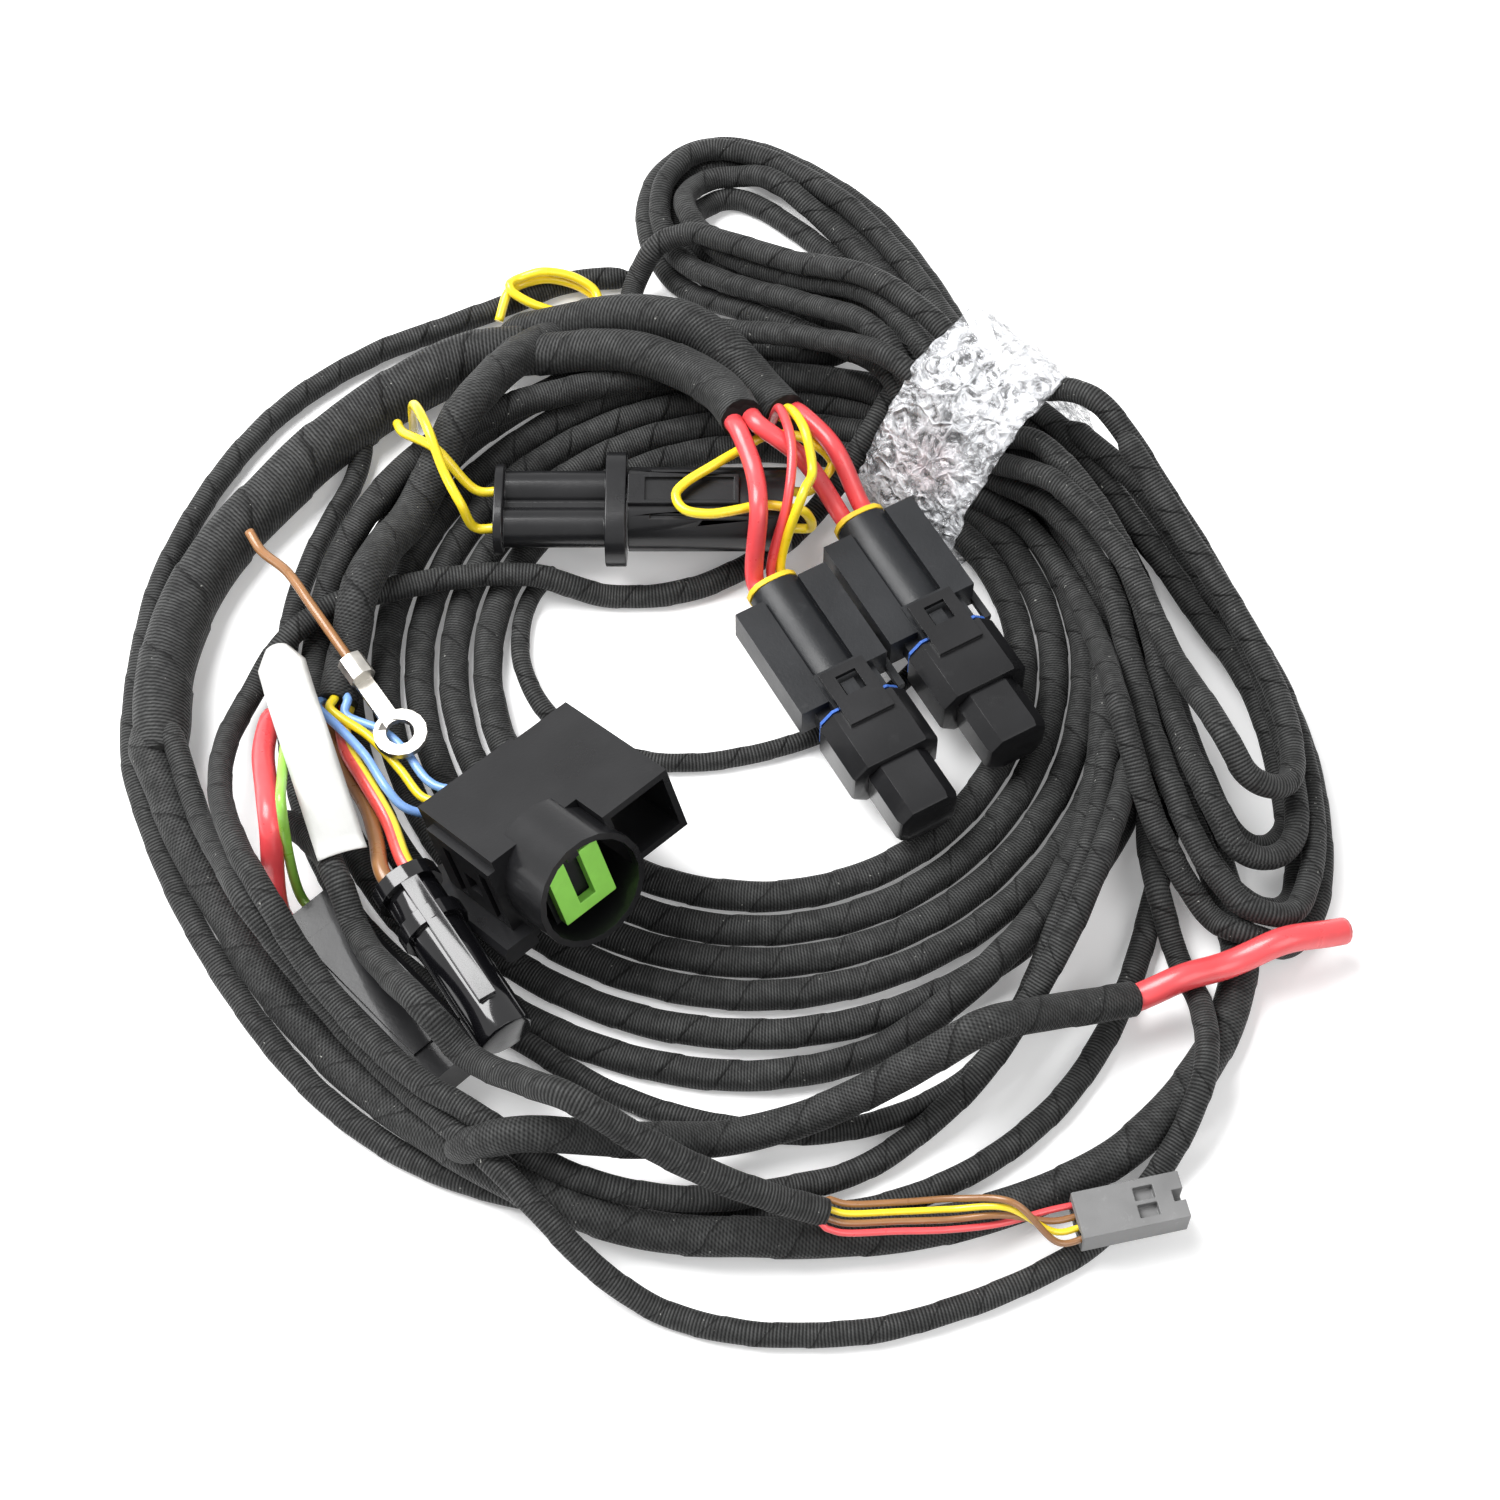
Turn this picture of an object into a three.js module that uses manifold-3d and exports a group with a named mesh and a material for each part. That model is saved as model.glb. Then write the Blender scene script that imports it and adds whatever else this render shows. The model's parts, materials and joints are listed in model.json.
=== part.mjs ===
// Wiring harness of a vehicle, laid down as a loose coil with one long branch folded into a hank.
// Millimetres, +Z up. The harness lies on the plane z = 0, and the middle of its outline is over the origin.

import * as THREE from "three";
import { mergeVertices } from "three/addons/utils/BufferGeometryUtils.js";
import Module from "manifold-3d";

const wasm = await Module();
wasm.setup();

// Clearances
const seatGap = 0.3; // between two pieces that touch
const layGap = 0.35; // between two cords where one lies on the other
const wireHoleGap = 0.35; // round a wire in its hole

// Cords: bundles of wires bound with cloth tape, by outside diameter
const trunkDiameter = 11;
const sleeveDiameter = 8.4;
const mainDiameter = 7;
const coilDiameter = 5.6;
const turnDiameter = 4.6;
const leftDiameter = 4.6;
const loopDiameter = 4.4;
const crossingDiameter = 4.6;
const plugBranchDiameter = 5;
const redBranchDiameter = 6.4;
const thinBranchDiameter = 4.2;
const innerDiameter = 3.6;
const hankDiameter = 4.5;
const stubDiameter = 7.6;

// Single wires, by outside diameter
const cableDiameter = 5;
const feedDiameter = 3.6;
const signalDiameter = 1.9;
const pairDiameter = 3;
const thinDiameter = 1.7;
const supplyDiameter = 4.2;

// The coil: radii at each quarter turn, from its inner end outward
const coilX = 1;
const coilY = 19;
const innerTurnRadii = [
  42.5, 51, 51.5, 51, 48.5, 57, 58.5, 57.5, 54.5, 63, 65, 64, 60.5, 69, 71.5, 70.5, 66.5, 76,
];
const mainTurnRadii = [66.5, 76, 79.5, 77.5, 73, 76];
const lastTurnRadii = [63.5, 66, 87, 84, 63.5, 66];

// The clear film round the hank and the side of the coil
const filmX = 42.8;
const filmY = 60.2;
const filmTurn = -136; // degrees, of its length from +Y
const filmLength = 25;
const filmThickness = 0.5;
const filmEase = 0.45;
const filmReach = 18.5; // between the film and the cords in it

// How cords lie
const steepest = 0.42; // the most that a cord rises for each millimetre along
const sharpestKnot = 0.42; // radians of bend in one step
const flatShare = 0.94; // of a radius, where the flats of two cords meet
const ownReach = 8; // steps of a cord that are too near to lie over each other
const cordSides = 8;
const wireSides = 8;

const black = { color: 0x26282a, roughness: 0.85, metalness: 0 };
const housingBlack = { color: 0x1a1b1d, roughness: 0.5, metalness: 0 };
const glossBlack = { color: 0x101012, roughness: 0.25, metalness: 0 };
const grey = { color: 0x9a9c9f, roughness: 0.55, metalness: 0 };
const red = { color: 0xd8263a, roughness: 0.4, metalness: 0 };
const yellow = { color: 0xf4ea14, roughness: 0.4, metalness: 0 };
const brown = { color: 0x7a4a2a, roughness: 0.4, metalness: 0 };
const blue = { color: 0x3f78d8, roughness: 0.4, metalness: 0 };
const green = { color: 0x58b82c, roughness: 0.4, metalness: 0 };
const lime = { color: 0x9ade4e, roughness: 0.5, metalness: 0 };
const sealBlue = { color: 0x2030a8, roughness: 0.6, metalness: 0 };
const sealYellow = { color: 0xe8e070, roughness: 0.6, metalness: 0 };
const tin = { color: 0xc8c8c4, roughness: 0.35, metalness: 1 };
const white = { color: 0xf2f2f0, roughness: 0.6, metalness: 0 };
const film = { color: 0xe6eaec, roughness: 0.2, metalness: 0, transparent: true, opacity: 0.4 };

const harness = new THREE.Group();
const radians = THREE.MathUtils.degToRad;

function addPiece(name, geometry, look, parent = harness) {
  const mesh = new THREE.Mesh(geometry, new THREE.MeshStandardMaterial(look));
  mesh.name = name;
  parent.add(mesh);
  return mesh;
}

// Solids joined and cut

function solid(geometry) {
  const bare = geometry.clone();
  bare.deleteAttribute("normal");
  bare.deleteAttribute("uv");
  const merged = mergeVertices(bare, 1e-4);
  return new wasm.Manifold(new wasm.Mesh({
    numProp: 3,
    vertProperties: merged.attributes.position.array,
    triVerts: new Uint32Array(merged.index.array),
  }));
}

function geometryOf(body) {
  const mesh = body.getMesh();
  const geometry = new THREE.BufferGeometry();
  geometry.setAttribute("position", new THREE.BufferAttribute(mesh.vertProperties, 3));
  geometry.setIndex(new THREE.BufferAttribute(mesh.triVerts, 1));
  geometry.computeVertexNormals();
  return geometry;
}

function joined(...solids) {
  return solids.reduce((whole, next) => whole.add(next));
}

// Section shapes, in x and z of a connector whose length is along y

function rectangle(x0, x1, z0, z1) {
  return new THREE.Shape([
    new THREE.Vector2(x0, z0), new THREE.Vector2(x1, z0),
    new THREE.Vector2(x1, z1), new THREE.Vector2(x0, z1),
  ]);
}

function chamfered(width, height, chamfer) {
  const x = width / 2;
  const z = height / 2;
  return new THREE.Shape([
    new THREE.Vector2(-x + chamfer, -z), new THREE.Vector2(x - chamfer, -z),
    new THREE.Vector2(x, -z + chamfer), new THREE.Vector2(x, z - chamfer),
    new THREE.Vector2(x - chamfer, z), new THREE.Vector2(-x + chamfer, z),
    new THREE.Vector2(-x, z - chamfer), new THREE.Vector2(-x, -z + chamfer),
  ]);
}

function stadium(width, height, segments = 6) {
  const radius = height / 2;
  const offset = width / 2 - radius;
  const points = [];
  for (let side = 0; side < 2; side += 1) {
    for (let i = 0; i <= segments; i += 1) {
      const angle = Math.PI * (side - 0.5 + i / segments);
      const x = (side === 0 ? offset : -offset) + radius * Math.cos(angle);
      points.push(new THREE.Vector2(x, radius * Math.sin(angle)));
    }
  }
  return new THREE.Shape(points);
}

function circle(radius, x = 0, z = 0, segments = 12) {
  const points = [];
  for (let i = 0; i < segments; i += 1) {
    const angle = (2 * Math.PI * (i + 0.5)) / segments;
    points.push(new THREE.Vector2(x + radius * Math.cos(angle), z + radius * Math.sin(angle)));
  }
  return new THREE.Shape(points);
}

// A solid of that section from y0 to y1
function prism(shape, y0, y1, bevel = 0) {
  const geometry = new THREE.ExtrudeGeometry(shape, {
    depth: y1 - y0 - 2 * bevel,
    bevelEnabled: bevel > 0,
    bevelThickness: bevel,
    bevelSize: bevel,
    bevelOffset: -bevel,
    bevelSegments: 2,
    curveSegments: 1,
  });
  geometry.rotateX(Math.PI / 2);
  geometry.translate(0, y1 - bevel, 0);
  return solid(geometry);
}

function block(x0, x1, y0, y1, z0, z1) {
  return prism(rectangle(x0, x1, z0, z1), y0, y1);
}

// Tubes

// A path whose points are its knots, so that each ring of a tube stands on one
class KnotPath extends THREE.Curve {
  constructor(knots, tangents) {
    super();
    this.knots = knots;
    this.tangents = tangents;
  }

  index(u) {
    return Math.round(u * (this.knots.length - 1));
  }

  getPointAt(u, target = new THREE.Vector3()) {
    return target.copy(this.knots[this.index(u)]);
  }

  getTangentAt(u, target = new THREE.Vector3()) {
    return target.copy(this.tangents[this.index(u)]);
  }
}

function tangentsOf(knots) {
  return knots.map((p, i) => {
    const before = knots[Math.max(i - 1, 0)];
    const after = knots[Math.min(i + 1, knots.length - 1)];
    return new THREE.Vector3().subVectors(after, before).normalize();
  });
}

// The tube round a path from one knot to another, drawn back a little at both ends
function tube(knots, diameter, sides, from = 0, to = knots.length - 1, ends = []) {
  const tangents = tangentsOf(knots).slice(from, to + 1);
  if (ends[0]) tangents[0].copy(ends[0]);
  if (ends[1]) tangents[tangents.length - 1].copy(ends[1]).negate();
  const part = knots.slice(from, to + 1).map((p) => p.clone());
  part[0].addScaledVector(tangents[0], seatGap / 2);
  part[part.length - 1].addScaledVector(tangents[tangents.length - 1], -seatGap / 2);
  return new THREE.ExtrudeGeometry(circle(diameter / 2, 0, 0, sides), {
    steps: part.length - 1,
    extrudePath: new KnotPath(part, tangents),
  });
}

// Laying cords one after another

const laid = []; // straight stretches that lie already, each { a, b, radius, low, high }
const blocks = []; // rigid pieces that lie already, each { x, y, turn, halfWidth, halfLength, top }

function inFootprint(x, y, piece, margin) {
  const turn = radians(piece.turn);
  const dx = x - piece.x;
  const dy = y - piece.y;
  const across = dx * Math.cos(turn) + dy * Math.sin(turn);
  const along = -dx * Math.sin(turn) + dy * Math.cos(turn);
  return Math.abs(across) < piece.halfWidth + margin && Math.abs(along) < piece.halfLength + margin;
}

const filmPlace = {
  x: filmX, y: filmY, turn: filmTurn, halfWidth: 18, halfLength: filmLength / 2,
};

// The floor, or the film where a cord runs through it
function floorAt(x, y) {
  return inFootprint(x, y, filmPlace, 6) ? filmThickness + 2 * seatGap : 0;
}

// The lowest height that the middle of a cord may have over a point
function supportAt(x, y, radius, own = null, index = 0, apart = []) {
  let height = floorAt(x, y) + radius;
  for (const s of laid) {
    if (s.cord === own && s.index > index - ownReach) continue;
    if (apart.some(([cord, from]) => s.cord === cord && s.index >= from)) continue;
    const reach = flatShare * (radius + s.radius) + layGap;
    if (x < s.low.x - reach || x > s.high.x + reach) continue;
    if (y < s.low.y - reach || y > s.high.y + reach) continue;
    const dx = s.b.x - s.a.x;
    const dy = s.b.y - s.a.y;
    const t = THREE.MathUtils.clamp(
      ((x - s.a.x) * dx + (y - s.a.y) * dy) / (dx * dx + dy * dy), 0, 1);
    const distance = Math.hypot(x - s.a.x - t * dx, y - s.a.y - t * dy);
    if (distance < reach) {
      const top = s.a.z + t * (s.b.z - s.a.z) + Math.sqrt(reach * reach - distance * distance);
      height = Math.max(height, top);
    }
  }
  for (const piece of blocks) {
    if (inFootprint(x, y, piece, radius + layGap)) {
      height = Math.max(height, piece.top + radius + layGap);
    }
  }
  return height;
}

// The knots of a plan: closer together where it bends
function knotsOf(plan, step) {
  const curve = new THREE.CatmullRomCurve3(
    plan.map(([x, y, z = 0]) => new THREE.Vector3(x, y, z)), false, "centripetal");
  curve.arcLengthDivisions = plan.length * 30;
  const samples = Math.ceil(curve.getLength());
  const points = curve.getSpacedPoints(samples);
  const spacing = curve.getLength() / samples;
  const needed = [0];
  for (let i = 1; i <= samples; i += 1) {
    const before = points[Math.max(i - 2, 0)];
    const middle = points[i - 1];
    const after = points[i];
    const turned = before === middle ? 0
      : new THREE.Vector3().subVectors(middle, before)
        .angleTo(new THREE.Vector3().subVectors(after, middle));
    needed.push(needed[i - 1] + Math.max(spacing / step, turned / sharpestKnot));
  }
  const total = needed[samples];
  const steps = Math.max(2, Math.round(total));
  const knots = [];
  let k = 0;
  for (let i = 0; i <= steps; i += 1) {
    const target = (total * i) / steps;
    while (k < samples - 1 && needed[k + 1] < target) k += 1;
    const part = THREE.MathUtils.clamp((target - needed[k]) / (needed[k + 1] - needed[k]), 0, 1);
    knots.push(points[k].clone().lerp(points[k + 1], part));
  }
  return knots;
}

// Heights for the knots from one to another: over all that lies below, no lower than wanted, and
// never too steep
function settle(knots, radius, wanted, first, last, apart) {
  const needs = [];
  for (let i = first; i < last; i += 1) {
    const samples = Math.ceil(knots[i].distanceTo(knots[i + 1]) / 2.5);
    for (let k = 0; k <= samples; k += 1) {
      const t = k / samples;
      const p = knots[i].clone().lerp(knots[i + 1], t);
      needs.push({ i, t, height: supportAt(p.x, p.y, radius, knots, i, apart) });
    }
  }
  const start = first === 0 ? 0 : first + 1;
  for (let i = start; i <= last; i += 1) {
    const own = supportAt(knots[i].x, knots[i].y, radius, knots, i, apart);
    knots[i].z = Math.max(own, wanted(i / (knots.length - 1)));
  }
  for (let pass = 0; pass < 12; pass += 1) {
    for (const { i, t, height } of needs) {
      const lack = height - (knots[i].z * (1 - t) + knots[i + 1].z * t);
      if (lack <= 0.001) continue;
      const share = (1 - t) * (1 - t) + t * t;
      if (i >= start) knots[i].z += (lack * (1 - t)) / share;
      knots[i + 1].z += (lack * t) / share;
    }
    const rise = (i, k) => steepest * Math.hypot(knots[i].x - knots[k].x, knots[i].y - knots[k].y);
    for (let i = start + 1; i <= last; i += 1) {
      knots[i].z = Math.max(knots[i].z, knots[i - 1].z - rise(i, i - 1));
    }
    for (let i = last - 1; i >= start; i -= 1) {
      knots[i].z = Math.max(knots[i].z, knots[i + 1].z - rise(i, i + 1));
    }
  }
}

function remember(knots, radius, first = 0, last = knots.length - 1) {
  for (let i = first; i < last; i += 1) {
    const [a, b] = [knots[i], knots[i + 1]];
    laid.push({
      a, b, radius, cord: knots, index: i,
      low: { x: Math.min(a.x, b.x), y: Math.min(a.y, b.y) },
      high: { x: Math.max(a.x, b.x), y: Math.max(a.y, b.y) },
    });
  }
}

// Lays a cord along a plan of [x, y] points over all that is laid so far, and over its own
// earlier turns. It returns the knots.
function lay(plan, diameter, step, wanted = () => 0, apart = []) {
  return layKnots(knotsOf(plan, step), diameter, wanted, apart);
}

function layKnots(knots, diameter, wanted = () => 0, apart = []) {
  const radius = diameter / 2;
  const steps = knots.length - 1;
  let kept = 0;
  for (let last = Math.min(2 * ownReach, steps); ; last = Math.min(last + ownReach, steps)) {
    settle(knots, radius, wanted, kept, last, apart);
    const next = last === steps ? steps : last - ownReach;
    remember(knots, radius, kept, next);
    kept = next;
    if (last === steps) break;
  }
  return knots;
}

// The height of the pile under a footprint
function pileUnder(piece) {
  let height = 0;
  const turn = radians(piece.turn);
  const grid = 16;
  for (let i = 0; i <= grid; i += 1) {
    for (let k = 0; k <= grid; k += 1) {
      const across = piece.halfWidth * ((2 * i) / grid - 1);
      const along = piece.halfLength * ((2 * k) / grid - 1);
      const x = piece.x + across * Math.cos(turn) - along * Math.sin(turn);
      const y = piece.y + across * Math.sin(turn) + along * Math.cos(turn);
      height = Math.max(height, supportAt(x, y, 0));
    }
  }
  return height;
}

// A cord as one or more nodes
function addCord(name, knots, diameter, look = black, parts = 1, sides = cordSides) {
  const steps = knots.length - 1;
  for (let i = 0; i < parts; i += 1) {
    const from = Math.round((i * steps) / parts);
    const to = Math.round(((i + 1) * steps) / parts);
    const label = parts > 1 ? `${name}_${i + 1}` : name;
    addPiece(label, tube(knots, diameter, sides, from, to), look);
  }
}

// Rigid pieces are made with their length along y from 0, their width along x and their lower side
// at z = 0, and are then put in place

function placement(x, y, z, turn, pitch = 0) {
  const matrix = new THREE.Matrix4().makeTranslation(x, y, z);
  matrix.multiply(new THREE.Matrix4().makeRotationZ(radians(turn)));
  return matrix.multiply(new THREE.Matrix4().makeRotationX(radians(pitch)));
}

function place(name, body, matrix, look) {
  addPiece(name, geometryOf(body).applyMatrix4(matrix), look);
}

// A piece on the pile: it returns its placement and keeps its footprint
function seat(piece, length) {
  const z = pileUnder(piece) + seatGap;
  const turn = radians(piece.turn);
  const x = piece.x + (length / 2) * Math.sin(turn);
  const y = piece.y - (length / 2) * Math.cos(turn);
  return { matrix: placement(x, y, z, piece.turn), top: z, piece };
}

function cover(seated, height) {
  blocks.push({ ...seated.piece, top: seated.top + height });
}

// A place where a wire starts or ends: a point and the way out
function port(matrix, x, y, z, outward) {
  return {
    point: new THREE.Vector3(x, y, z).applyMatrix4(matrix),
    out: new THREE.Vector3(0, outward, 0).transformDirection(matrix),
    cord: null,
  };
}

// The same at the end of a cord, at an offset across and up
function mouth(knots, across, up) {
  const last = knots.length - 1;
  const out = new THREE.Vector3().subVectors(knots[last], knots[last - 1]).normalize();
  const side = new THREE.Vector3(out.y, -out.x, 0).normalize();
  const above = new THREE.Vector3().crossVectors(side, out);
  const point = knots[last].clone().addScaledVector(out, seatGap / 2);
  point.addScaledVector(side, across).addScaledVector(above, up);
  return { point, out, cord: knots };
}

// A free place in space
function spot(x, y, z, outX, outY, outZ = 0) {
  const out = new THREE.Vector3(outX, outY, outZ).normalize();
  return { point: new THREE.Vector3(x, y, z), out, cord: null };
}

// A wire between two such places, over all that lies there, arched by some millimetres
function addWire(name, start, points, end, diameter, look, arch = 0, step = 9) {
  const ahead = (from) => from.point.clone().addScaledVector(from.out, from.cord ? 3 : 5);
  const [first, final] = [ahead(start), end ? ahead(end) : null];
  const plan = [[first.x, first.y], ...points];
  if (end) plan.push([final.x, final.y]);
  const knots = knotsOf(plan, step);
  const high = end ? final.z : 0;
  const wanted = (u) => (end ? first.z + (high - first.z) * u + arch * Math.sin(Math.PI * u)
    : (u === 0 ? first.z : 0));
  const apart = [[start.cord, 0], [end ? end.cord : null, 0]];
  layKnots(knots, diameter, wanted, apart);
  knots[0].z = Math.max(first.z, knots[0].z - 0.5);
  if (end) knots[knots.length - 1].z = final.z;
  knots.unshift(start.point);
  if (end) knots.push(end.point);
  remember([knots[0], knots[1]], diameter / 2);
  const ends = [start.out, end ? end.out : null];
  addPiece(name, tube(knots, diameter, wireSides, 0, knots.length - 1, ends), look);
  return knots;
}

function hole(x, z, y0, y1, diameter) {
  return prism(circle(diameter / 2 + wireHoleGap, x, z, 8), y0, y1);
}

// Routes: points [x, y] of the plan, moved together by dy

function route(dy, points) {
  return points.map(([x, y]) => [x, y + dy]);
}

const atStart = (height) => (u) => (u === 0 ? height : 0);

// Knots of coil turns: on the same rays in each turn, so that the turns lie side by side
function turnKnots(radii, from, to) {
  const knots = [];
  for (let i = Math.round(from * 6); i <= Math.round(to * 6); i += 1) {
    const quarter = i / 6;
    const k = Math.min(Math.floor(quarter), radii.length - 2);
    const part = THREE.MathUtils.smoothstep(quarter, k, k + 1);
    const radius = THREE.MathUtils.lerp(radii[k], radii[k + 1], part);
    const angle = radians(90 - 90 * quarter);
    const x = coilX + radius * Math.cos(angle);
    knots.push(new THREE.Vector3(x, coilY + radius * Math.sin(angle), 0));
  }
  return knots;
}

const inner = lay(route(3, [
  [-38, 37], [-42, 31], [-44, 23], [-43.5, 15], [-40, 6.5], [-35, 0.5], [-27, -4], [-18, -6.5],
  [-8, -6.5], [2, -4.5], [12, -1], [22, 5], [31, 13], [38, 23],
]), innerDiameter, 11);

const innerTurns = layKnots(turnKnots(innerTurnRadii, 1 / 3, 16.5), coilDiameter);

const strandRight = route(2, [
  [82, -14], [84, -24], [87, -35], [88.5, -46], [87, -55], [82, -66], [74, -77], [64, -86],
  [52, -92.5], [38, -97.5], [20, -101], [0, -102], [-15, -101], [-30, -97.5], [-45, -90],
  [-56, -83], [-65, -75.5], [-74, -67], [-83, -57], [-91, -46], [-98, -34], [-103.5, -25],
  [-108, -16], [-110.5, -10],
]);
const mainTurn = layKnots(turnKnots(mainTurnRadii, 0.5, 4.17), mainDiameter,
  atStart(innerTurns[innerTurns.length - 1].z), [[innerTurns, innerTurns.length - 4]]);

mainTurn[0].lerp(mainTurn[1], 0.03);

const lastTurn = layKnots(turnKnots(lastTurnRadii, 0.5, 4.34), turnDiameter);

const thinBranch = lay(route(3, [
  [-79, 55], [-82.5, 47], [-86, 36], [-88.5, 22], [-88, 5], [-84, -14], [-77, -32], [-66, -46],
  [-54, -56], [-42, -64], [-35, -68], [-25, -74], [-15, -78], [-5, -80.5], [10, -82], [25, -79],
  [38, -72], [48, -60], [54, -48], [59, -37], [63, -25], [65.5, -14], [66.5, -6],
]), thinBranchDiameter, 14);

const leftBranch = lay(route(3, [
  [-24, 108], [-33, 107.5], [-42, 105], [-50, 100.5], [-57, 97], [-63, 94.5], [-71, 91],
  [-81, 85], [-89, 78.5], [-97, 70], [-104, 59], [-110, 46], [-114, 34], [-116, 20], [-116.5, 4],
  [-115, -10], [-110, -23], [-105, -34], [-100, -43], [-93, -54], [-85, -65], [-77, -73.5],
  [-68, -81.5], [-56, -88.5], [-43, -93], [-30, -95.5], [-15, -97], [5, -98], [22, -96],
  [32, -92.5], [43, -86.5], [54, -77], [62, -66], [68, -54], [72, -42], [75.5, -30], [78, -18],
  [79, -10],
]), leftDiameter, 14);

const trunk = lay(route(2, [
  [-45, 89], [-55, 86], [-65, 80.5], [-73, 74.5], [-80, 68], [-88, 60], [-95, 50.5], [-101, 42],
  [-106, 32], [-109, 22], [-110, 12], [-110.5, 0], [-109, -8],
]), trunkDiameter, 16);
const trunkEnd = trunk[trunk.length - 1];
const jointHeight = trunk[0].z;

const strand = lay([...strandRight].reverse(), mainDiameter, 17, atStart(trunkEnd.z), [[trunk, 0]]);

// The flat box on the left, under the strands that cross it

const boxLength = 42;
const boxSeat = seat({ x: -65.5, y: -55, turn: -136.5, halfWidth: 6.5, halfLength: 21 }, boxLength);
function flatBox() {
  const body = prism(chamfered(13, 9, 1.2), 0, boxLength).translate([0, 0, 4.5]);
  return joined(body, block(-4.6, 4.6, 6, 36, 8.5, 9.6))
    .subtract(hole(3, 4.5, -1, 3, supplyDiameter)).subtract(hole(-2, 4.5, -1, 3, signalDiameter));
}
place("flat_box", flatBox(), boxSeat.matrix, housingBlack);
cover(boxSeat, 9.6);

const loop = lay(route(0, [
  [-105, -8.5], [-102, -17], [-96, -29], [-90, -41.5], [-82.4, -50.4], [-74.6, -59], [-66.4, -67.4],
  [-58.2, -76.2], [-49.5, -84.5], [-42, -91.5], [-35, -98.5], [-27, -105.5], [-17, -111], [-7, -114.5],
  [6, -116], [22, -115], [36, -111], [48, -106], [57, -101], [65, -94], [72, -85.5], [77, -78],
  [80, -69], [80.5, -60], [78.5, -49], [75, -38], [73, -27], [73.5, -16], [74.5, -8],
]), loopDiameter, 13, atStart(trunkEnd.z), [[trunk, 0]]);

const crossing = lay(route(-1, [
  [33, 83], [27, 72], [21, 63], [14, 54], [6, 46.5], [-3, 39.5], [-12, 35.5], [-22, 34],
  [-32, 34.5], [-42, 35.5], [-52, 35], [-62, 33], [-72, 30], [-80, 27], [-87, 21.5],
  [-92, 14], [-95.5, 6], [-97, -4], [-97, -13], [-94, -24], [-89, -36], [-80, -49.6], [-69.4, -62.6],
  [-57, -74.5], [-45, -82], [-34, -88.5], [-21, -92.5], [-8, -93], [5, -89.5], [18, -85.5],
  [30, -78], [40, -69], [50, -55.5], [58, -42], [64, -28], [68, -16], [70.5, -7],
]), crossingDiameter, 14);

const redBranch = lay(route(1, [
  [-33, -87.5], [-22, -86.5], [-10, -84], [2, -81.5], [15, -78], [28, -73.5], [40, -68.5],
  [50, -64], [60, -60], [68, -57],
]), redBranchDiameter, 15);

// The round connector beside the box

const roundSeat = seat({ x: -51.5, y: -54, turn: -147, halfWidth: 4, halfLength: 18 }, 36);
function roundConnector() {
  const axis = 6.6;
  return joined(
    prism(circle(6.4, 0, axis, 14), 0, 3),
    prism(circle(5.2, 0, axis, 14), 2.5, 36, 0.8),
    prism(circle(6.4, 0, axis, 14), 9, 12),
    block(-1.6, 1.6, 3, 30, axis + 3, axis + 6.2),
  ).subtract(hole(-2.2, axis, -1, 3, pairDiameter)).subtract(hole(2.2, axis, -1, 3, pairDiameter));
}
place("round_connector", roundConnector(), roundSeat.matrix, glossBlack);
cover(roundSeat, 12.8);

const plugBranch = lay(route(-2, [
  [-86, -19], [-81.5, -23.5], [-76, -30], [-72.4, -38], [-68, -47.5], [-61.5, -57.5], [-53.5, -66.8],
  [-45, -74], [-36, -80], [-26, -85.5], [-15, -90], [-5, -93.5], [5, -95.5], [13, -96.5],
]), plugBranchDiameter, 11, atStart(8));

// The hank: rounds of one thin cord, three lengths of it, laid one over another

const round1 = [
  [54.6, 73.5], [45, 92], [36.5, 110], [26, 126.5], [13, 138], [1, 144.5], [-10, 145],
  [-18, 139], [-21.5, 129], [-20, 118], [-13, 107.5], [-3, 99], [9, 91], [22, 81],
  [37.3, 56.5], [52, 47], [60, 34], [64.5, 20], [66, 3], [69.5, -15], [77.5, -32], [88, -43.5],
  [97, -43.5], [103.5, -34], [105.5, -18], [104.5, -2], [99, 14], [89, 32], [76, 48],
  [64, 61],
];
const round2 = [
  [51.2, 70.2], [41, 90], [31.5, 107.5], [21, 122.5], [9, 133.5], [-2, 139.5], [-10, 138.5],
  [-15.5, 132], [-16, 122.5], [-10, 112.5], [0, 104], [12, 95.5], [25, 85],
  [40.8, 59.9], [54, 50.5], [64, 37], [70.5, 21], [74, 3], [78, -15], [84, -29.5], [91, -38],
  [97.5, -36], [100.5, -26], [100.6, -12], [98.5, 3], [92.5, 18], [83, 33], [71, 48], [60, 58],
];
const round3 = [
  [47.8, 66.8], [38.5, 84], [28, 101.5], [17, 116], [6, 126.5], [-3, 131.5], [-10, 129],
  [-12, 121], [-7, 112.5], [3, 105], [15, 97], [27, 88],
  [44.3, 63.2], [57, 53], [67.5, 39], [75, 21.5], [79, 3], [83.5, -14], [88.5, -27], [94, -32],
  [98, -25], [98, -10], [95.5, 4], [90, 17], [82, 30.5], [71.5, 46], [62, 60],
];
const round4 = [
  [52.9, 71.8], [44, 88], [34, 107], [23.5, 122.5], [11, 134], [-1, 140], [-10.5, 141],
  [-17, 134], [-18.5, 124], [-14.5, 112.5], [-6, 103.5], [6, 95], [20, 84.5],
  [39.1, 58.2], [53, 48.5], [62.5, 35.5], [68.5, 20.5], [71.5, 3], [75.5, -15], [82, -31],
  [90, -40.5], [97.5, -39.5], [102, -30], [103, -15], [101.5, 0], [96, 16], [86, 33],
  [73, 49.5], [61, 60],
];
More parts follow.
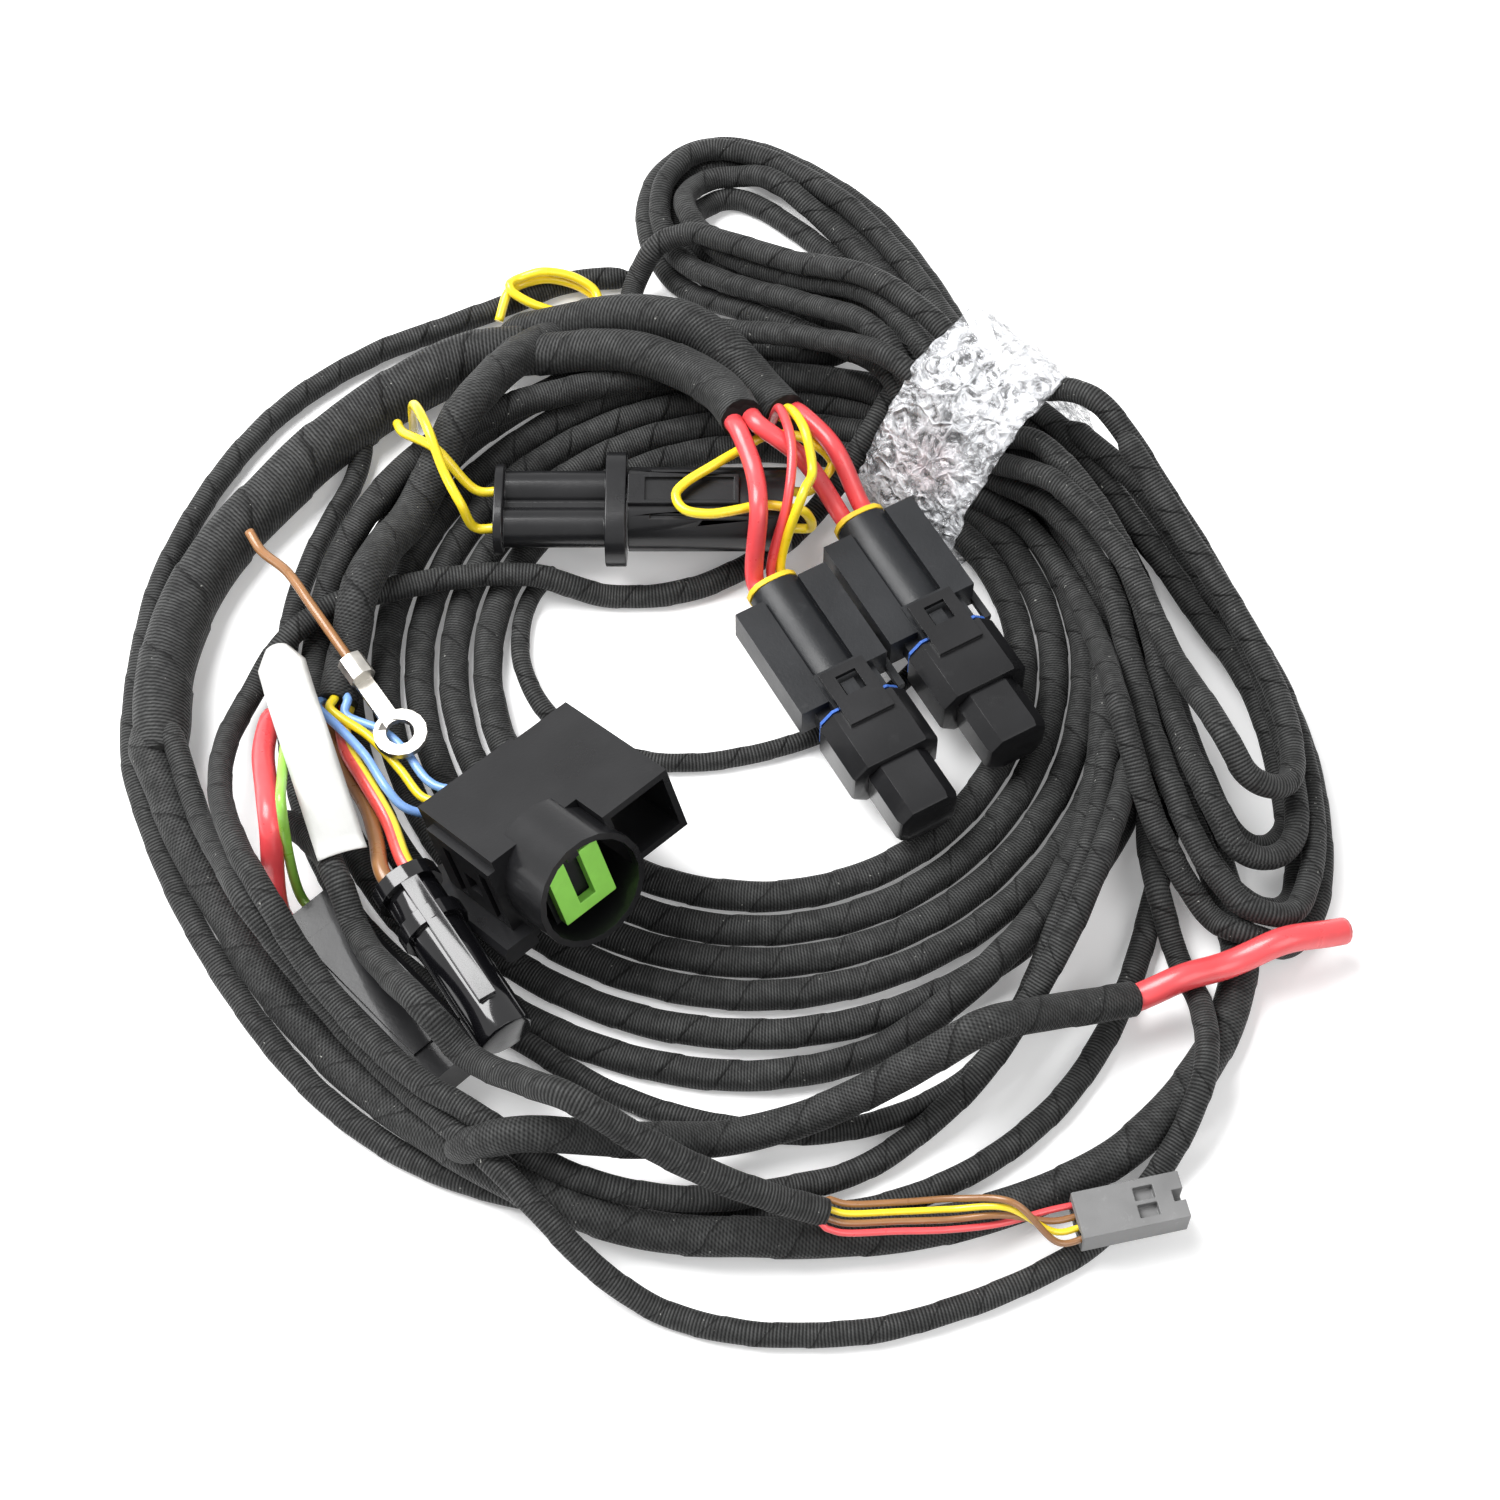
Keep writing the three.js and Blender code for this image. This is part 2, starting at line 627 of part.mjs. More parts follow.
const round5 = [
  [49.5, 68.5], [40, 86.5], [30, 104], [19, 119], [7.5, 130], [-2.5, 135], [-10, 133],
  [-13.5, 126], [-11, 117], [-3, 107.5], [9, 99], [23, 89.5],
  [42.5, 61.6], [55.5, 52], [66, 38], [73, 21], [76.5, 3], [81, -15], [86.5, -28], [92.5, -34.5],
  [98, -29], [99.5, -15], [97.5, 1], [92, 16], [83.5, 30.5], [72, 46.5], [61, 58],
];
const round6 = [
  [46.3, 65], [36, 78], [25, 88], [11, 98], [-1, 105], [-10, 112], [-17, 112.5], [-23, 108],
  [-25, 101], [-20.5, 95], [-9, 90.5], [4, 85.5], [18, 77], [30, 67],
  [39.3, 57.6], [56, 44], [66.5, 31], [74, 16], [80, 0], [85.5, -13], [91, -20.5], [97, -22],
  [99, -14], [97.5, 0], [91, 15], [80, 31], [69, 47],
];
const hankLow = lay([...round1, ...round2], hankDiameter, 20);
const hankMiddle = lay([...round3, ...round4], hankDiameter, 20);
const hankTop = lay([...round5, ...round6], hankDiameter, 20);

const stub = lay(route(0, [
  [-50, 77.5], [-54.5, 69], [-59, 60], [-64, 50], [-68, 41], [-72, 31], [-75, 17], [-77, 4],
]), stubDiameter, 12);

// The sealed two-way connector, mated

const sealedLength = 57;
const sealedWidth = 17;
const sealedHeight = 12.5;
const sealedPitch = 4.3; // from the middle to each wire
const sealedSeat = seat({ x: -20.5, y: 46, turn: -90, halfWidth: 9, halfLength: 28.5 }, sealedLength);
const sealedMiddle = 7;
function sealedRear() {
  let body = prism(circle(3.9, -sealedPitch, sealedMiddle, 12), 0, 23);
  body = joined(body, prism(circle(3.9, sealedPitch, sealedMiddle, 12), 0, 23),
    block(-3, 3, 1.5, 22, sealedMiddle - 1.5, sealedMiddle + 1.5),
    prism(stadium(19, 10.5), 0, 1.8).translate([0, 0, sealedMiddle]),
    prism(stadium(24, 13.6, 8), 21.4, 25.4).translate([0, 0, sealedMiddle]));
  for (const side of [-1, 1]) {
    body = body.subtract(hole(side * sealedPitch, sealedMiddle, -1, 3, signalDiameter));
  }
  return body;
}
function sealedFront() {
  let body = prism(stadium(sealedWidth, sealedHeight), 25.7, sealedLength);
  body = body.translate([0, 0, sealedMiddle]);
  const top = sealedMiddle + sealedHeight / 2;
  body = joined(body, block(-3.4, 3.4, 25.7, 47, top - 1, top + 0.9));
  body = body.subtract(block(-2.6, 2.6, 29, 46, top + 0.2, top + 2));
  for (const side of [-1, 1]) {
    body = body.subtract(block(side * 5.6 - 0.6, side * 5.6 + 0.6, 30, 50, top - 1.2, top + 2));
    body = body.subtract(hole(side * sealedPitch, sealedMiddle, sealedLength - 3, sealedLength + 1,
      signalDiameter));
  }
  return body;
}
place("sealed_socket", sealedRear(), sealedSeat.matrix, housingBlack);
place("sealed_plug", sealedFront(), sealedSeat.matrix, housingBlack);
cover(sealedSeat, 14.2);


const sealedPort = (side, y, outward) => port(sealedSeat.matrix, side * sealedPitch, y, sealedMiddle,
  outward);
addWire("yellow_lead_1", spot(-69.2, 67.5, 11.5, 0.35, -0.94), [[-62, 57], [-56, 52]],
  sealedPort(-1, 1.4, -1), signalDiameter, yellow, 3);
addWire("yellow_lead_2", spot(-66.6, 69.5, 6, 0.35, -0.94), [[-63, 60], [-57, 46], [-55, 43]],
  sealedPort(1, 1.4, -1), signalDiameter, yellow);
addWire("yellow_jumper", sealedPort(-1, sealedLength - 1.4, 1), [
  [16, 54.5], [10, 58.5], [1, 55.5], [-8, 49.5], [-14, 44], [-12.5, 40.2], [-6, 39.2], [2, 41.2], [9.5, 40.4],
], sealedPort(1, sealedLength - 1.4, 1), signalDiameter, yellow, 0, 6);

const sleeveLow = lay(route(0, [
  [-43.5, 86], [-34, 85], [-25, 83], [-16, 79], [-9, 73], [-4.5, 66], [-1.5, 58],
]), sleeveDiameter, 10, (u) => (u === 0 ? jointHeight : 21 * u), [[trunk, 0]]);
const sleeveHigh = lay(route(0, [
  [-43, 94.8], [-34, 94.5], [-25, 93], [-16.5, 90], [-8, 85], [-1.5, 78.5], [3, 72], [7, 65],
]), sleeveDiameter, 10, (u) => (u === 0 ? jointHeight : 18 * u), [[trunk, 0]]);

// The two fuse holders

const holderLength = 57;
const holderMiddle = 6.6;
const holderPorts = [-2.25, 2.25];
function holderBody() {
  const middle = holderMiddle;
  const body = prism(stadium(10.4, 8.6), 0, 25).translate([0, 0, middle]);
  return joined(body,
    block(-10.3, 10.3, 3, 24, middle - 1.4, middle + 1.4),
    block(-10.3, -4.3, 1, 24, 3.4, 10.6),
    block(4.3, 10.3, 3, 28, 3.4, 10.6),
    block(-7.4, -4.1, 20, 30.6, 4.7, 8.5),
    block(4.1, 7.4, 20, 30.6, 4.7, 8.5),
    block(-11.4, -10, 17, 29, 4.2, 5.6),
    block(-4.6, 4.6, 22, 30.6, 2.2, 11),
    block(-1.4, 1.4, 26.6, 29.4, 10.5, 12.4));
}
function holderCap() {
  const cap = prism(chamfered(18, 12.6, 2.8), 31.8, 45, 0.8).translate([0, 0, holderMiddle + 0.2]);
  return joined(cap,
    prism(chamfered(12.4, 11, 2.4), 44, holderLength, 1.6).translate([0, 0, holderMiddle]),
    block(-4.6, -2.1, 24, 34, 12.9, 14),
    block(2.1, 4.6, 24, 34, 12.9, 14),
    block(-4.6, 4.6, 30.2, 34, 12.9, 14),
    block(-4.6, 4.6, 24, 25.8, 12.9, 14),
    block(-4.6, 4.6, 32.6, 36, 11, 14));
}
function addHolder(letter, seated) {
  const body = holderPorts.reduce(
    (whole, x) => whole.subtract(hole(x, holderMiddle, -1, 3.4, feedDiameter)), holderBody());
  place(`holder_${letter}_body`, body, seated.matrix, housingBlack);
  place(`holder_${letter}_cap`, holderCap(), seated.matrix, housingBlack);
  const gasket = prism(chamfered(16.4, 11.4, 2.4), 30.9, 31.5);
  place(`holder_${letter}_gasket`, gasket.translate([0, 0, holderMiddle + 0.2]), seated.matrix, sealBlue);
  let seal = prism(stadium(10.8, 7.8), -1.5, -0.3).translate([0, 0, holderMiddle]);
  for (const x of holderPorts) {
    seal = seal.subtract(hole(x, holderMiddle, -2, 1, feedDiameter));
  }
  place(`holder_${letter}_seal`, seal, seated.matrix, sealYellow);
}
const holderA = seat({ x: 18.8, y: 2.6, turn: -150.5, halfWidth: 10.3, halfLength: 28.5 }, holderLength);
const holderB = seat({ x: 35.5, y: 17.7, turn: -150.5, halfWidth: 10.3, halfLength: 28.5 }, holderLength);
addHolder("a", holderA);
addHolder("b", holderB);

const holderPort = (seated, x) => port(seated.matrix, x, 1.4, holderMiddle, -1);
addWire("feed_a", mouth(sleeveLow, 1.9, 0), [[1.5, 43]], holderPort(holderA, holderPorts[1]),
  feedDiameter, red, 3);
addWire("feed_b1", mouth(sleeveLow, -2, 0), [[10, 51]], holderPort(holderB, holderPorts[1]),
  feedDiameter, red, 3);
addWire("feed_b2", mouth(sleeveHigh, -2, 0), [[17, 54]], holderPort(holderB, holderPorts[0]),
  feedDiameter, red, 2);
addWire("signal_a_yellow", mouth(sleeveHigh, 1.2, 0), [[11.8, 46]],
  holderPort(holderA, holderPorts[0] - 1.06), signalDiameter, yellow, 3);
addWire("signal_a_red", mouth(sleeveHigh, 3.3, 0), [[8.2, 46]],
  holderPort(holderA, holderPorts[0] + 1.06), signalDiameter, red, 3);

// A small coil of thin wire behind the trunk

function smallCoil() {
  const plan = [[-51, 98]];
  for (let i = 0; i <= 11; i += 1) {
    const angle = radians(150 - 45 * i);
    plan.push([-40 + 9 * Math.cos(angle), 104 + 3.6 * Math.sin(angle)]);
  }
  plan.push([-31, 99.5]);
  const knots = layKnots(knotsOf(plan, 6), signalDiameter);
  addPiece("yellow_coil", tube(knots, signalDiameter, wireSides), yellow);
}
smallCoil();

// Wires out of the taped stub: two into the round connector, four to the green-faced one

const roundPort = (x) => port(roundSeat.matrix, x, 1.4, 6.6, -1);
addWire("brown_lead", mouth(stub, 1.75, -1.35), [[-75, -10], [-69, -22]], roundPort(2.2), pairDiameter,
  brown);
addWire("striped_lead", mouth(stub, -1.75, -1.35), [[-73, -11], [-66, -23]], roundPort(-2.2),
  pairDiameter, red);

const socketLength = 35;
const socketAxis = 10.5;
const greenPile = { x: -35.5, y: -36.5, turn: -138.6, halfWidth: 12, halfLength: 15 };
const greenSeat = seat(greenPile, 30);
greenSeat.matrix = greenSeat.matrix.clone().multiply(
  new THREE.Matrix4().makeRotationX(radians(24)));
function greenHousing() {
  const body = joined(
    block(-10.5, 11, 0, 24, 0, 20),
    prism(circle(11, 0, socketAxis, 20), 20, socketLength),
    block(-22.5, -8, 1, 32, 6.5, 20),
    block(-24.5, -8, -2, 26, 2.5, 5.5),
    block(10, 15, -2, 27, 1, 4.2),
    prism(circle(1.7, 15.4, 2.6, 8), -4, 27),
    block(10, 12.6, 4, 24, 3, 18));
  return body
    .subtract(prism(circle(9.8, 0, socketAxis, 20), 22.5, socketLength + 1))
    .subtract(block(-21.2, -9.4, 0, 33, 7.8, 18.7))
    .subtract(block(11.4, 13, 8, 10.5, 5, 16))
    .subtract(block(11.4, 13, 13, 17, 8.5, 12.5))
    .subtract(block(11.4, 13, 19.5, 22, 5, 16))
    .add(block(-6.4, 6.4, 20, 29, 3.6, 17.2))
    .add(block(-1.2, 1.2, 28, 32.5, 16.8, 20.6));
}
function greenRetainer() {
  return block(-5.6, 5.6, 29.3, 31.3, 4, 16.4)
    .subtract(block(-1.7, 1.7, 28, 33, 6.4, 17));
}
const greenPorts = [-5, 0, 5];
const greenBody = greenPorts.reduce(
  (whole, x) => whole.subtract(hole(x, 10, -1, 3, thinDiameter)), greenHousing());
place("green_connector_housing", greenBody, greenSeat.matrix, housingBlack);
place("green_connector_retainer", greenRetainer(), greenSeat.matrix, lime);
const greenPort = (k) => port(greenSeat.matrix, greenPorts[k], 1.4, 10, -1);
addWire("blue_lead_1", mouth(stub, -2.6, 3.3), [[-66, -5], [-57, -16]], greenPort(0), thinDiameter, blue);
addWire("yellow_signal", mouth(stub, 0.1, 2.9), [[-67, -8], [-59, -18.5]], greenPort(1), thinDiameter, yellow);
addWire("blue_lead_2", mouth(stub, 2.7, 1.2), [[-70, -12], [-63, -22]], greenPort(2), thinDiameter, blue);

// Wires of the flat box

const boxPort = (x) => port(boxSeat.matrix, x, 1.4, 4.5, -1);
addWire("box_red", spot(-88, 2, 8, 0, -1), [[-88, -14], [-85, -28]], boxPort(3), supplyDiameter, red);
addWire("box_green", spot(-84, 2, 8, 0, -1), [[-83.5, -14], [-82.4, -28]], boxPort(-2), signalDiameter,
  green, 2, 6);

// The grey plug and its wires

const plugLength = 19;
const plugSeat = seat({ x: 65, y: -96, turn: -77.5, halfWidth: 4.3, halfLength: 9.5 }, plugLength);
function greyPlug() {
  let body = block(-4.3, 4.3, 0, plugLength, 0, 6);
  body = body.subtract(block(-2.8, -0.4, 10.5, 14, 4.6, 7));
  body = body.subtract(block(0.4, 2.8, 10.5, 14, 4.6, 7));
  body = body.subtract(block(-1, 1, 17, 20, 2, 7));
  for (const k of [0, 1, 2, 3]) {
    body = body.subtract(block(-3.9 + 2.05 * k, -2.25 + 2.05 * k, -1, 3, 2.1, 3.9));
  }
  return body;
}
place("grey_plug", greyPlug(), plugSeat.matrix, grey);
const plugColours = [red, brown, yellow, brown];
plugColours.forEach((look, k) => {
  const x = -3.08 + 2.05 * k;
  addWire(`plug_lead_${k + 1}`, mouth(plugBranch, -x * 0.86, 0), [[40, -97.5 + x * 0.6]],
    port(plugSeat.matrix, x, 1.4, 3, -1), 1.2, look);
});

// The red cable out of its branch, cut bare

addWire("red_cable", mouth(redBranch, 0, 0), [[80, -52.5], [93, -48], [107, -42]], null,
  cableDiameter, red, 0, 7);

// The ring terminal on its brown lead, the label flag and the small yellow coil

const ringLift = 1.4;
const ringSeat = seat({ x: -68, y: 0, turn: -146, halfWidth: 3, halfLength: 11 }, 24);
function ringTerminal() {
  const plate = joined(
    prism(circle(5, 0, 0, 16), 0, ringLift).rotate([-90, 0, 0]).translate([0, 19, ringLift]),
    block(-1.7, 1.7, 3, 17, 0, ringLift),
    prism(stadium(5.2, 4.6, 4), 1, 6).translate([0, 0, 2.3]));
  return plate
    .subtract(prism(circle(2.65, 0, 0, 14), -1, 3).rotate([-90, 0, 0]).translate([0, 19, 2.4]))
    .subtract(hole(0, 2.3, -1, 4, signalDiameter));
}
place("ring_terminal", ringTerminal(), ringSeat.matrix, tin);
addWire("terminal_lead", spot(-96, 41, 13, 0.5, -0.85), [[-88, 30], [-81, 19]],
  port(ringSeat.matrix, 0, 2.2, 2.3, -1), signalDiameter, brown, 3);

// The film: the outline round all that runs through it

function filmOutline(extra, sides = 20) {
  const matrix = placement(filmX, filmY, 0, filmTurn).invert();
  const lines = [];
  for (let i = 0; i < sides; i += 1) {
    const angle = (2 * Math.PI * i) / sides;
    lines.push({ x: Math.cos(angle), z: Math.sin(angle), far: -1e9 });
  }
  for (const stretch of laid) {
    for (let k = 0; k <= 8; k += 1) {
      const p = stretch.a.clone().lerp(stretch.b, k / 8).applyMatrix4(matrix);
      if (Math.abs(p.y) > filmLength / 2 + 1 || p.x < -27 || p.x > filmReach) continue;
      for (const line of lines) {
        line.far = Math.max(line.far, p.x * line.x + p.z * line.z + stretch.radius);
      }
    }
  }
  return lines.map((line, i) => {
    const next = lines[(i + 1) % sides];
    const [p, q] = [line.far + extra, next.far + extra];
    const d = line.x * next.z - line.z * next.x;
    return new THREE.Vector2((p * next.z - q * line.z) / d, (q * line.x - p * next.x) / d);
  });
}
const filmShape = new THREE.Shape(filmOutline(filmEase + filmThickness));
filmShape.holes.push(new THREE.Path(filmOutline(filmEase)));
place("film", prism(filmShape, -filmLength / 2, filmLength / 2), placement(filmX, filmY, 0, filmTurn),
  film);

addCord("plug_branch", plugBranch, plugBranchDiameter);
addCord("inner_branch", inner, innerDiameter);
addCord("coil_inner_turns", innerTurns, coilDiameter, black, 2);
addCord("coil_main_turn", mainTurn, mainDiameter);
addCord("coil_last_turn", lastTurn, turnDiameter);
addCord("thin_branch", thinBranch, thinBranchDiameter);
addCord("left_branch", leftBranch, leftDiameter);
addCord("trunk", trunk, trunkDiameter, black, 1, 12);
addCord("main_strand", strand, mainDiameter);
addCord("fuse_sleeve_low", sleeveLow, sleeveDiameter);
addCord("fuse_sleeve_high", sleeveHigh, sleeveDiameter);
addCord("loop_strand", loop, loopDiameter);
addCord("crossing_branch", crossing, crossingDiameter);
addCord("taped_stub", stub, stubDiameter);
addCord("red_branch", redBranch, redBranchDiameter);
addCord("hank_low", hankLow, hankDiameter);
addCord("hank_middle", hankMiddle, hankDiameter);
addCord("hank_top", hankTop, hankDiameter);

// The harness is centred over the origin, its lowest point on z = 0

const extent = new THREE.Box3().setFromObject(harness);
const middle = extent.getCenter(new THREE.Vector3());
harness.position.set(-middle.x, -middle.y, -extent.min.z);
harness.updateMatrixWorld(true);
export default harness;
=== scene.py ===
"""A coiled wiring harness: taped cords, a hank tied with clear film, fuse holders and connectors.

Every cord follows the middle of its solid in the frame, smoothed. Lengths are in metres, unless
a comment says mm.
"""

import json
import math

import bmesh
import bpy
import numpy as np
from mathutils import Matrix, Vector, noise
from mathutils.bvhtree import BVHTree


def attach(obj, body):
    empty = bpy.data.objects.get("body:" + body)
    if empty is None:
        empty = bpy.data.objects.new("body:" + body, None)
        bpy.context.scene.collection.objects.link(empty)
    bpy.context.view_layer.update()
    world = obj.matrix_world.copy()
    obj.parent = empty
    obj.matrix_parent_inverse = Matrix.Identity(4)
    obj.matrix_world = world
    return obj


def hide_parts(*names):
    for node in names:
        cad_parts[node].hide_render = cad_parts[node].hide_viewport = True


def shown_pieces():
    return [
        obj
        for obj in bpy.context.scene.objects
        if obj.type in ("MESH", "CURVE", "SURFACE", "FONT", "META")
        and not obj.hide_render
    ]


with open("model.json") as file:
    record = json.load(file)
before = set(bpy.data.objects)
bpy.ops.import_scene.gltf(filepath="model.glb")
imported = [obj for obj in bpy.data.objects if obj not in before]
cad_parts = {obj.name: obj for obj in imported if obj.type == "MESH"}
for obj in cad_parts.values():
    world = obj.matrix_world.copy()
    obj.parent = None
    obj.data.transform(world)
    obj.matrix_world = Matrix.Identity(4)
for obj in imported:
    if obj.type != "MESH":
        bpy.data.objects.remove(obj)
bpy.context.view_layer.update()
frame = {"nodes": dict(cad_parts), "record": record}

MM = 0.001

# Camera: the photograph was taken from 60 degrees above the ground, at about 0.6 m

TARGET = Vector((5.3 * MM, -14.5 * MM, 0))
DISTANCE = 0.6
ELEVATION = math.radians(60)
SENSOR = 36
LENS = 76.3

camera_data = bpy.data.cameras.new("camera")
camera_data.sensor_width = SENSOR
camera_data.lens = LENS
camera_data.clip_start = 0.01
camera = bpy.data.objects.new("camera", camera_data)
bpy.context.scene.collection.objects.link(camera)
back = Vector((0, -math.cos(ELEVATION), math.sin(ELEVATION)))
camera.location = TARGET + back * DISTANCE
camera.rotation_mode = "QUATERNION"
camera.rotation_quaternion = (-back).to_track_quat("-Z", "Y")
bpy.context.scene.camera = camera

# Centrelines of the cords

SIDES = 8  # of a cord's solid
SAME_PLACE = 0.002 * MM
ONE_PLANE = 0.9999  # the least cosine between the normals of one flat face
EASING_ROUNDS = 400


def welded(node):
    """The corners of a node's mesh, with those at one place as one, and its triangles."""
    mesh = frame["nodes"][node].data
    mesh.calc_loop_triangles()
    points = np.array([v.co for v in mesh.vertices])
    grid = np.round(points / SAME_PLACE).astype(int)
    _, first, same = np.unique(grid, axis=0, return_index=True, return_inverse=True)
    same = same.ravel()
    triangles = [tuple(same[i] for i in t.vertices) for t in mesh.loop_triangles]
    return points[first], [t for t in triangles if len(set(t)) == 3]


def end_rings(points, triangles):
    """The corners of a tube's two flat round ends."""
    by_edge = {}
    normals = []
    for number, (a, b, c) in enumerate(triangles):
        normal = np.cross(points[b] - points[a], points[c] - points[a])
        normals.append(normal / max(np.linalg.norm(normal), 1e-20))
        for edge in ((a, b), (b, c), (c, a)):
            by_edge.setdefault(frozenset(edge), []).append(number)
    beside = {}
    for pair in by_edge.values():
        if len(pair) == 2 and normals[pair[0]] @ normals[pair[1]] > ONE_PLANE:
            beside.setdefault(pair[0], []).append(pair[1])
            beside.setdefault(pair[1], []).append(pair[0])
    seen, found = set(), []
    for start in range(len(triangles)):
        if start in seen:
            continue
        face, queue = [], [start]
        seen.add(start)
        while queue:
            t = queue.pop()
            face.append(t)
            for other in beside.get(t, []):
                if other not in seen:
                    seen.add(other)
                    queue.append(other)
        corners = sorted({i for t in face for i in triangles[t]})
        if len(corners) >= SIDES:
            reach = np.linalg.norm(points[corners] - points[corners].mean(0), axis=1)
            found.append((float(reach.std() / reach.mean()), corners))
    found.sort(key=lambda pair: pair[0])
    return [corners for _, corners in found[:2]]


def middle_line(node):
    """The middles of a tube's rings of corners, from one end to the other."""
    points, triangles = welded(node)
    linked = {}
    for t in triangles:
        for i in t:
            linked.setdefault(i, set()).update(t)
    ring = set(end_rings(points, triangles)[0])
    seen, line = set(), []
    while ring:
        line.append(points[sorted(ring)].mean(0))
        seen |= ring
        ring = {j for i in ring for j in linked[i]} - seen
    return [Vector(p) for p in line]


def nearest(node, place):
    """The distance from a place to the nearest corner of a node."""
    points = np.array([v.co for v in frame["nodes"][node].data.vertices])
    return float(np.linalg.norm(points - np.array(place), axis=1).min())


def smooth_line(points, step):
    """A smooth line through the points, in even steps."""
    p = [points[0] * 2 - points[1], *points, points[-1] * 2 - points[-2]]
    fine = []
    for k in range(1, len(p) - 2):
        a, b, c, d = p[k - 1 : k + 3]
        t1 = (b - a).length ** 0.5
        t2 = t1 + (c - b).length ** 0.5
        t3 = t2 + (d - c).length ** 0.5
        count = max(3, round((c - b).length / step) * 2)
        for i in range(count):
            t = t1 + (t2 - t1) * i / count
            ab = a * ((t1 - t) / t1) + b * (t / t1)
            bc = b * ((t2 - t) / (t2 - t1)) + c * ((t - t1) / (t2 - t1))
            cd = c * ((t3 - t) / (t3 - t2)) + d * ((t - t2) / (t3 - t2))
            abc = ab * ((t2 - t) / t2) + bc * (t / t2)
            bcd = bc * ((t3 - t) / (t3 - t1)) + cd * ((t - t1) / (t3 - t1))
            fine.append(abc * ((t2 - t) / (t2 - t1)) + bcd * ((t - t1) / (t2 - t1)))
    fine.append(points[-1].copy())
    far = [0.0]
    for a, b in zip(fine, fine[1:]):
        far.append(far[-1] + (b - a).length)
    count = max(4, round(far[-1] / step))
    even, k = [], 0
    for i in range(count + 1):
        want = far[-1] * i / count
        while k < len(fine) - 2 and far[k + 1] < want:
            k += 1
        share = (want - far[k]) / max(far[k + 1] - far[k], 1e-12)
        even.append(fine[k].lerp(fine[k + 1], min(max(share, 0), 1)))
    return even


def eased_bends(line, radius):
    """The line with each bend tighter than the radius spread over more of its length."""
    for _ in range(EASING_ROUNDS):
        moved, sharp = [line[0]], False
        for a, b, c in zip(line, line[1:], line[2:]):
            tight = (b - a).angle(c - b, 0) > (c - a).length / 2 / radius
            sharp = sharp or tight
            moved.append((a + b * 2 + c) / 4 if tight else b)
        line = [*moved, line[-1]]
        if not sharp:
            break
    return line


def line_length(line):
    return sum((b - a).length for a, b in zip(line, line[1:]))


# Tubes


def tube(name, line, radius, material, sides, shape=None):
    """A closed tube along a line. shape(far, share) adds to the radius, far along the tube and a
    share of the way round. The UV map holds that share and the way along in centimetres."""
    mesh = bmesh.new()
    uv = mesh.loops.layers.uv.new("along")
    tangents = []
    for k in range(len(line)):
        ahead, behind = line[min(k + 1, len(line) - 1)], line[max(k - 1, 0)]
        tangents.append((ahead - behind).normalized())
    side = tangents[0].orthogonal().normalized()
    rings, far = [], [0.0]
    for a, b in zip(line, line[1:]):
        far.append(far[-1] + (b - a).length)
    for k, (place, tangent) in enumerate(zip(line, tangents)):
        side = (side - tangent * side.dot(tangent)).normalized()
        other = tangent.cross(side)
        ring = []
        for s in range(sides):
            share = s / sides
            r = radius + (shape(far[k], share) if shape else 0)
            angle = 2 * math.pi * share
            out = side * math.cos(angle) + other * math.sin(angle)
            ring.append(mesh.verts.new(place + out * r))
        rings.append(ring)
    for k in range(len(rings) - 1):
        for s in range(sides):
            here, after, t = rings[k], rings[k + 1], (s + 1) % sides
            face = mesh.faces.new([here[s], here[t], after[t], after[s]])
            face.smooth = True
            rounds = [s / sides, (s + 1) / sides, (s + 1) / sides, s / sides]
            along = [far[k], far[k], far[k + 1], far[k + 1]]
            for loop, u, v in zip(face.loops, rounds, along):
                loop[uv].uv = (u, v * 100)
    for k, turned in ((0, True), (-1, False)):
        middle = mesh.verts.new(line[k] + tangents[k] * (-0.1 if turned else 0.1) * radius)
        for s in range(sides):
            pair = [rings[k][s], rings[k][(s + 1) % sides]]
            if turned:
                pair.reverse()
            face = mesh.faces.new([*pair, middle])
            for loop in face.loops:
                loop[uv].uv = (0.5, far[k] * 100)
    data = bpy.data.meshes.new(name)
    mesh.to_mesh(data)
    mesh.free()
    data.materials.append(material)
    piece = bpy.data.objects.new(name, data)
    bpy.context.scene.collection.objects.link(piece)
    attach(piece, "root")
    return piece


# Materials


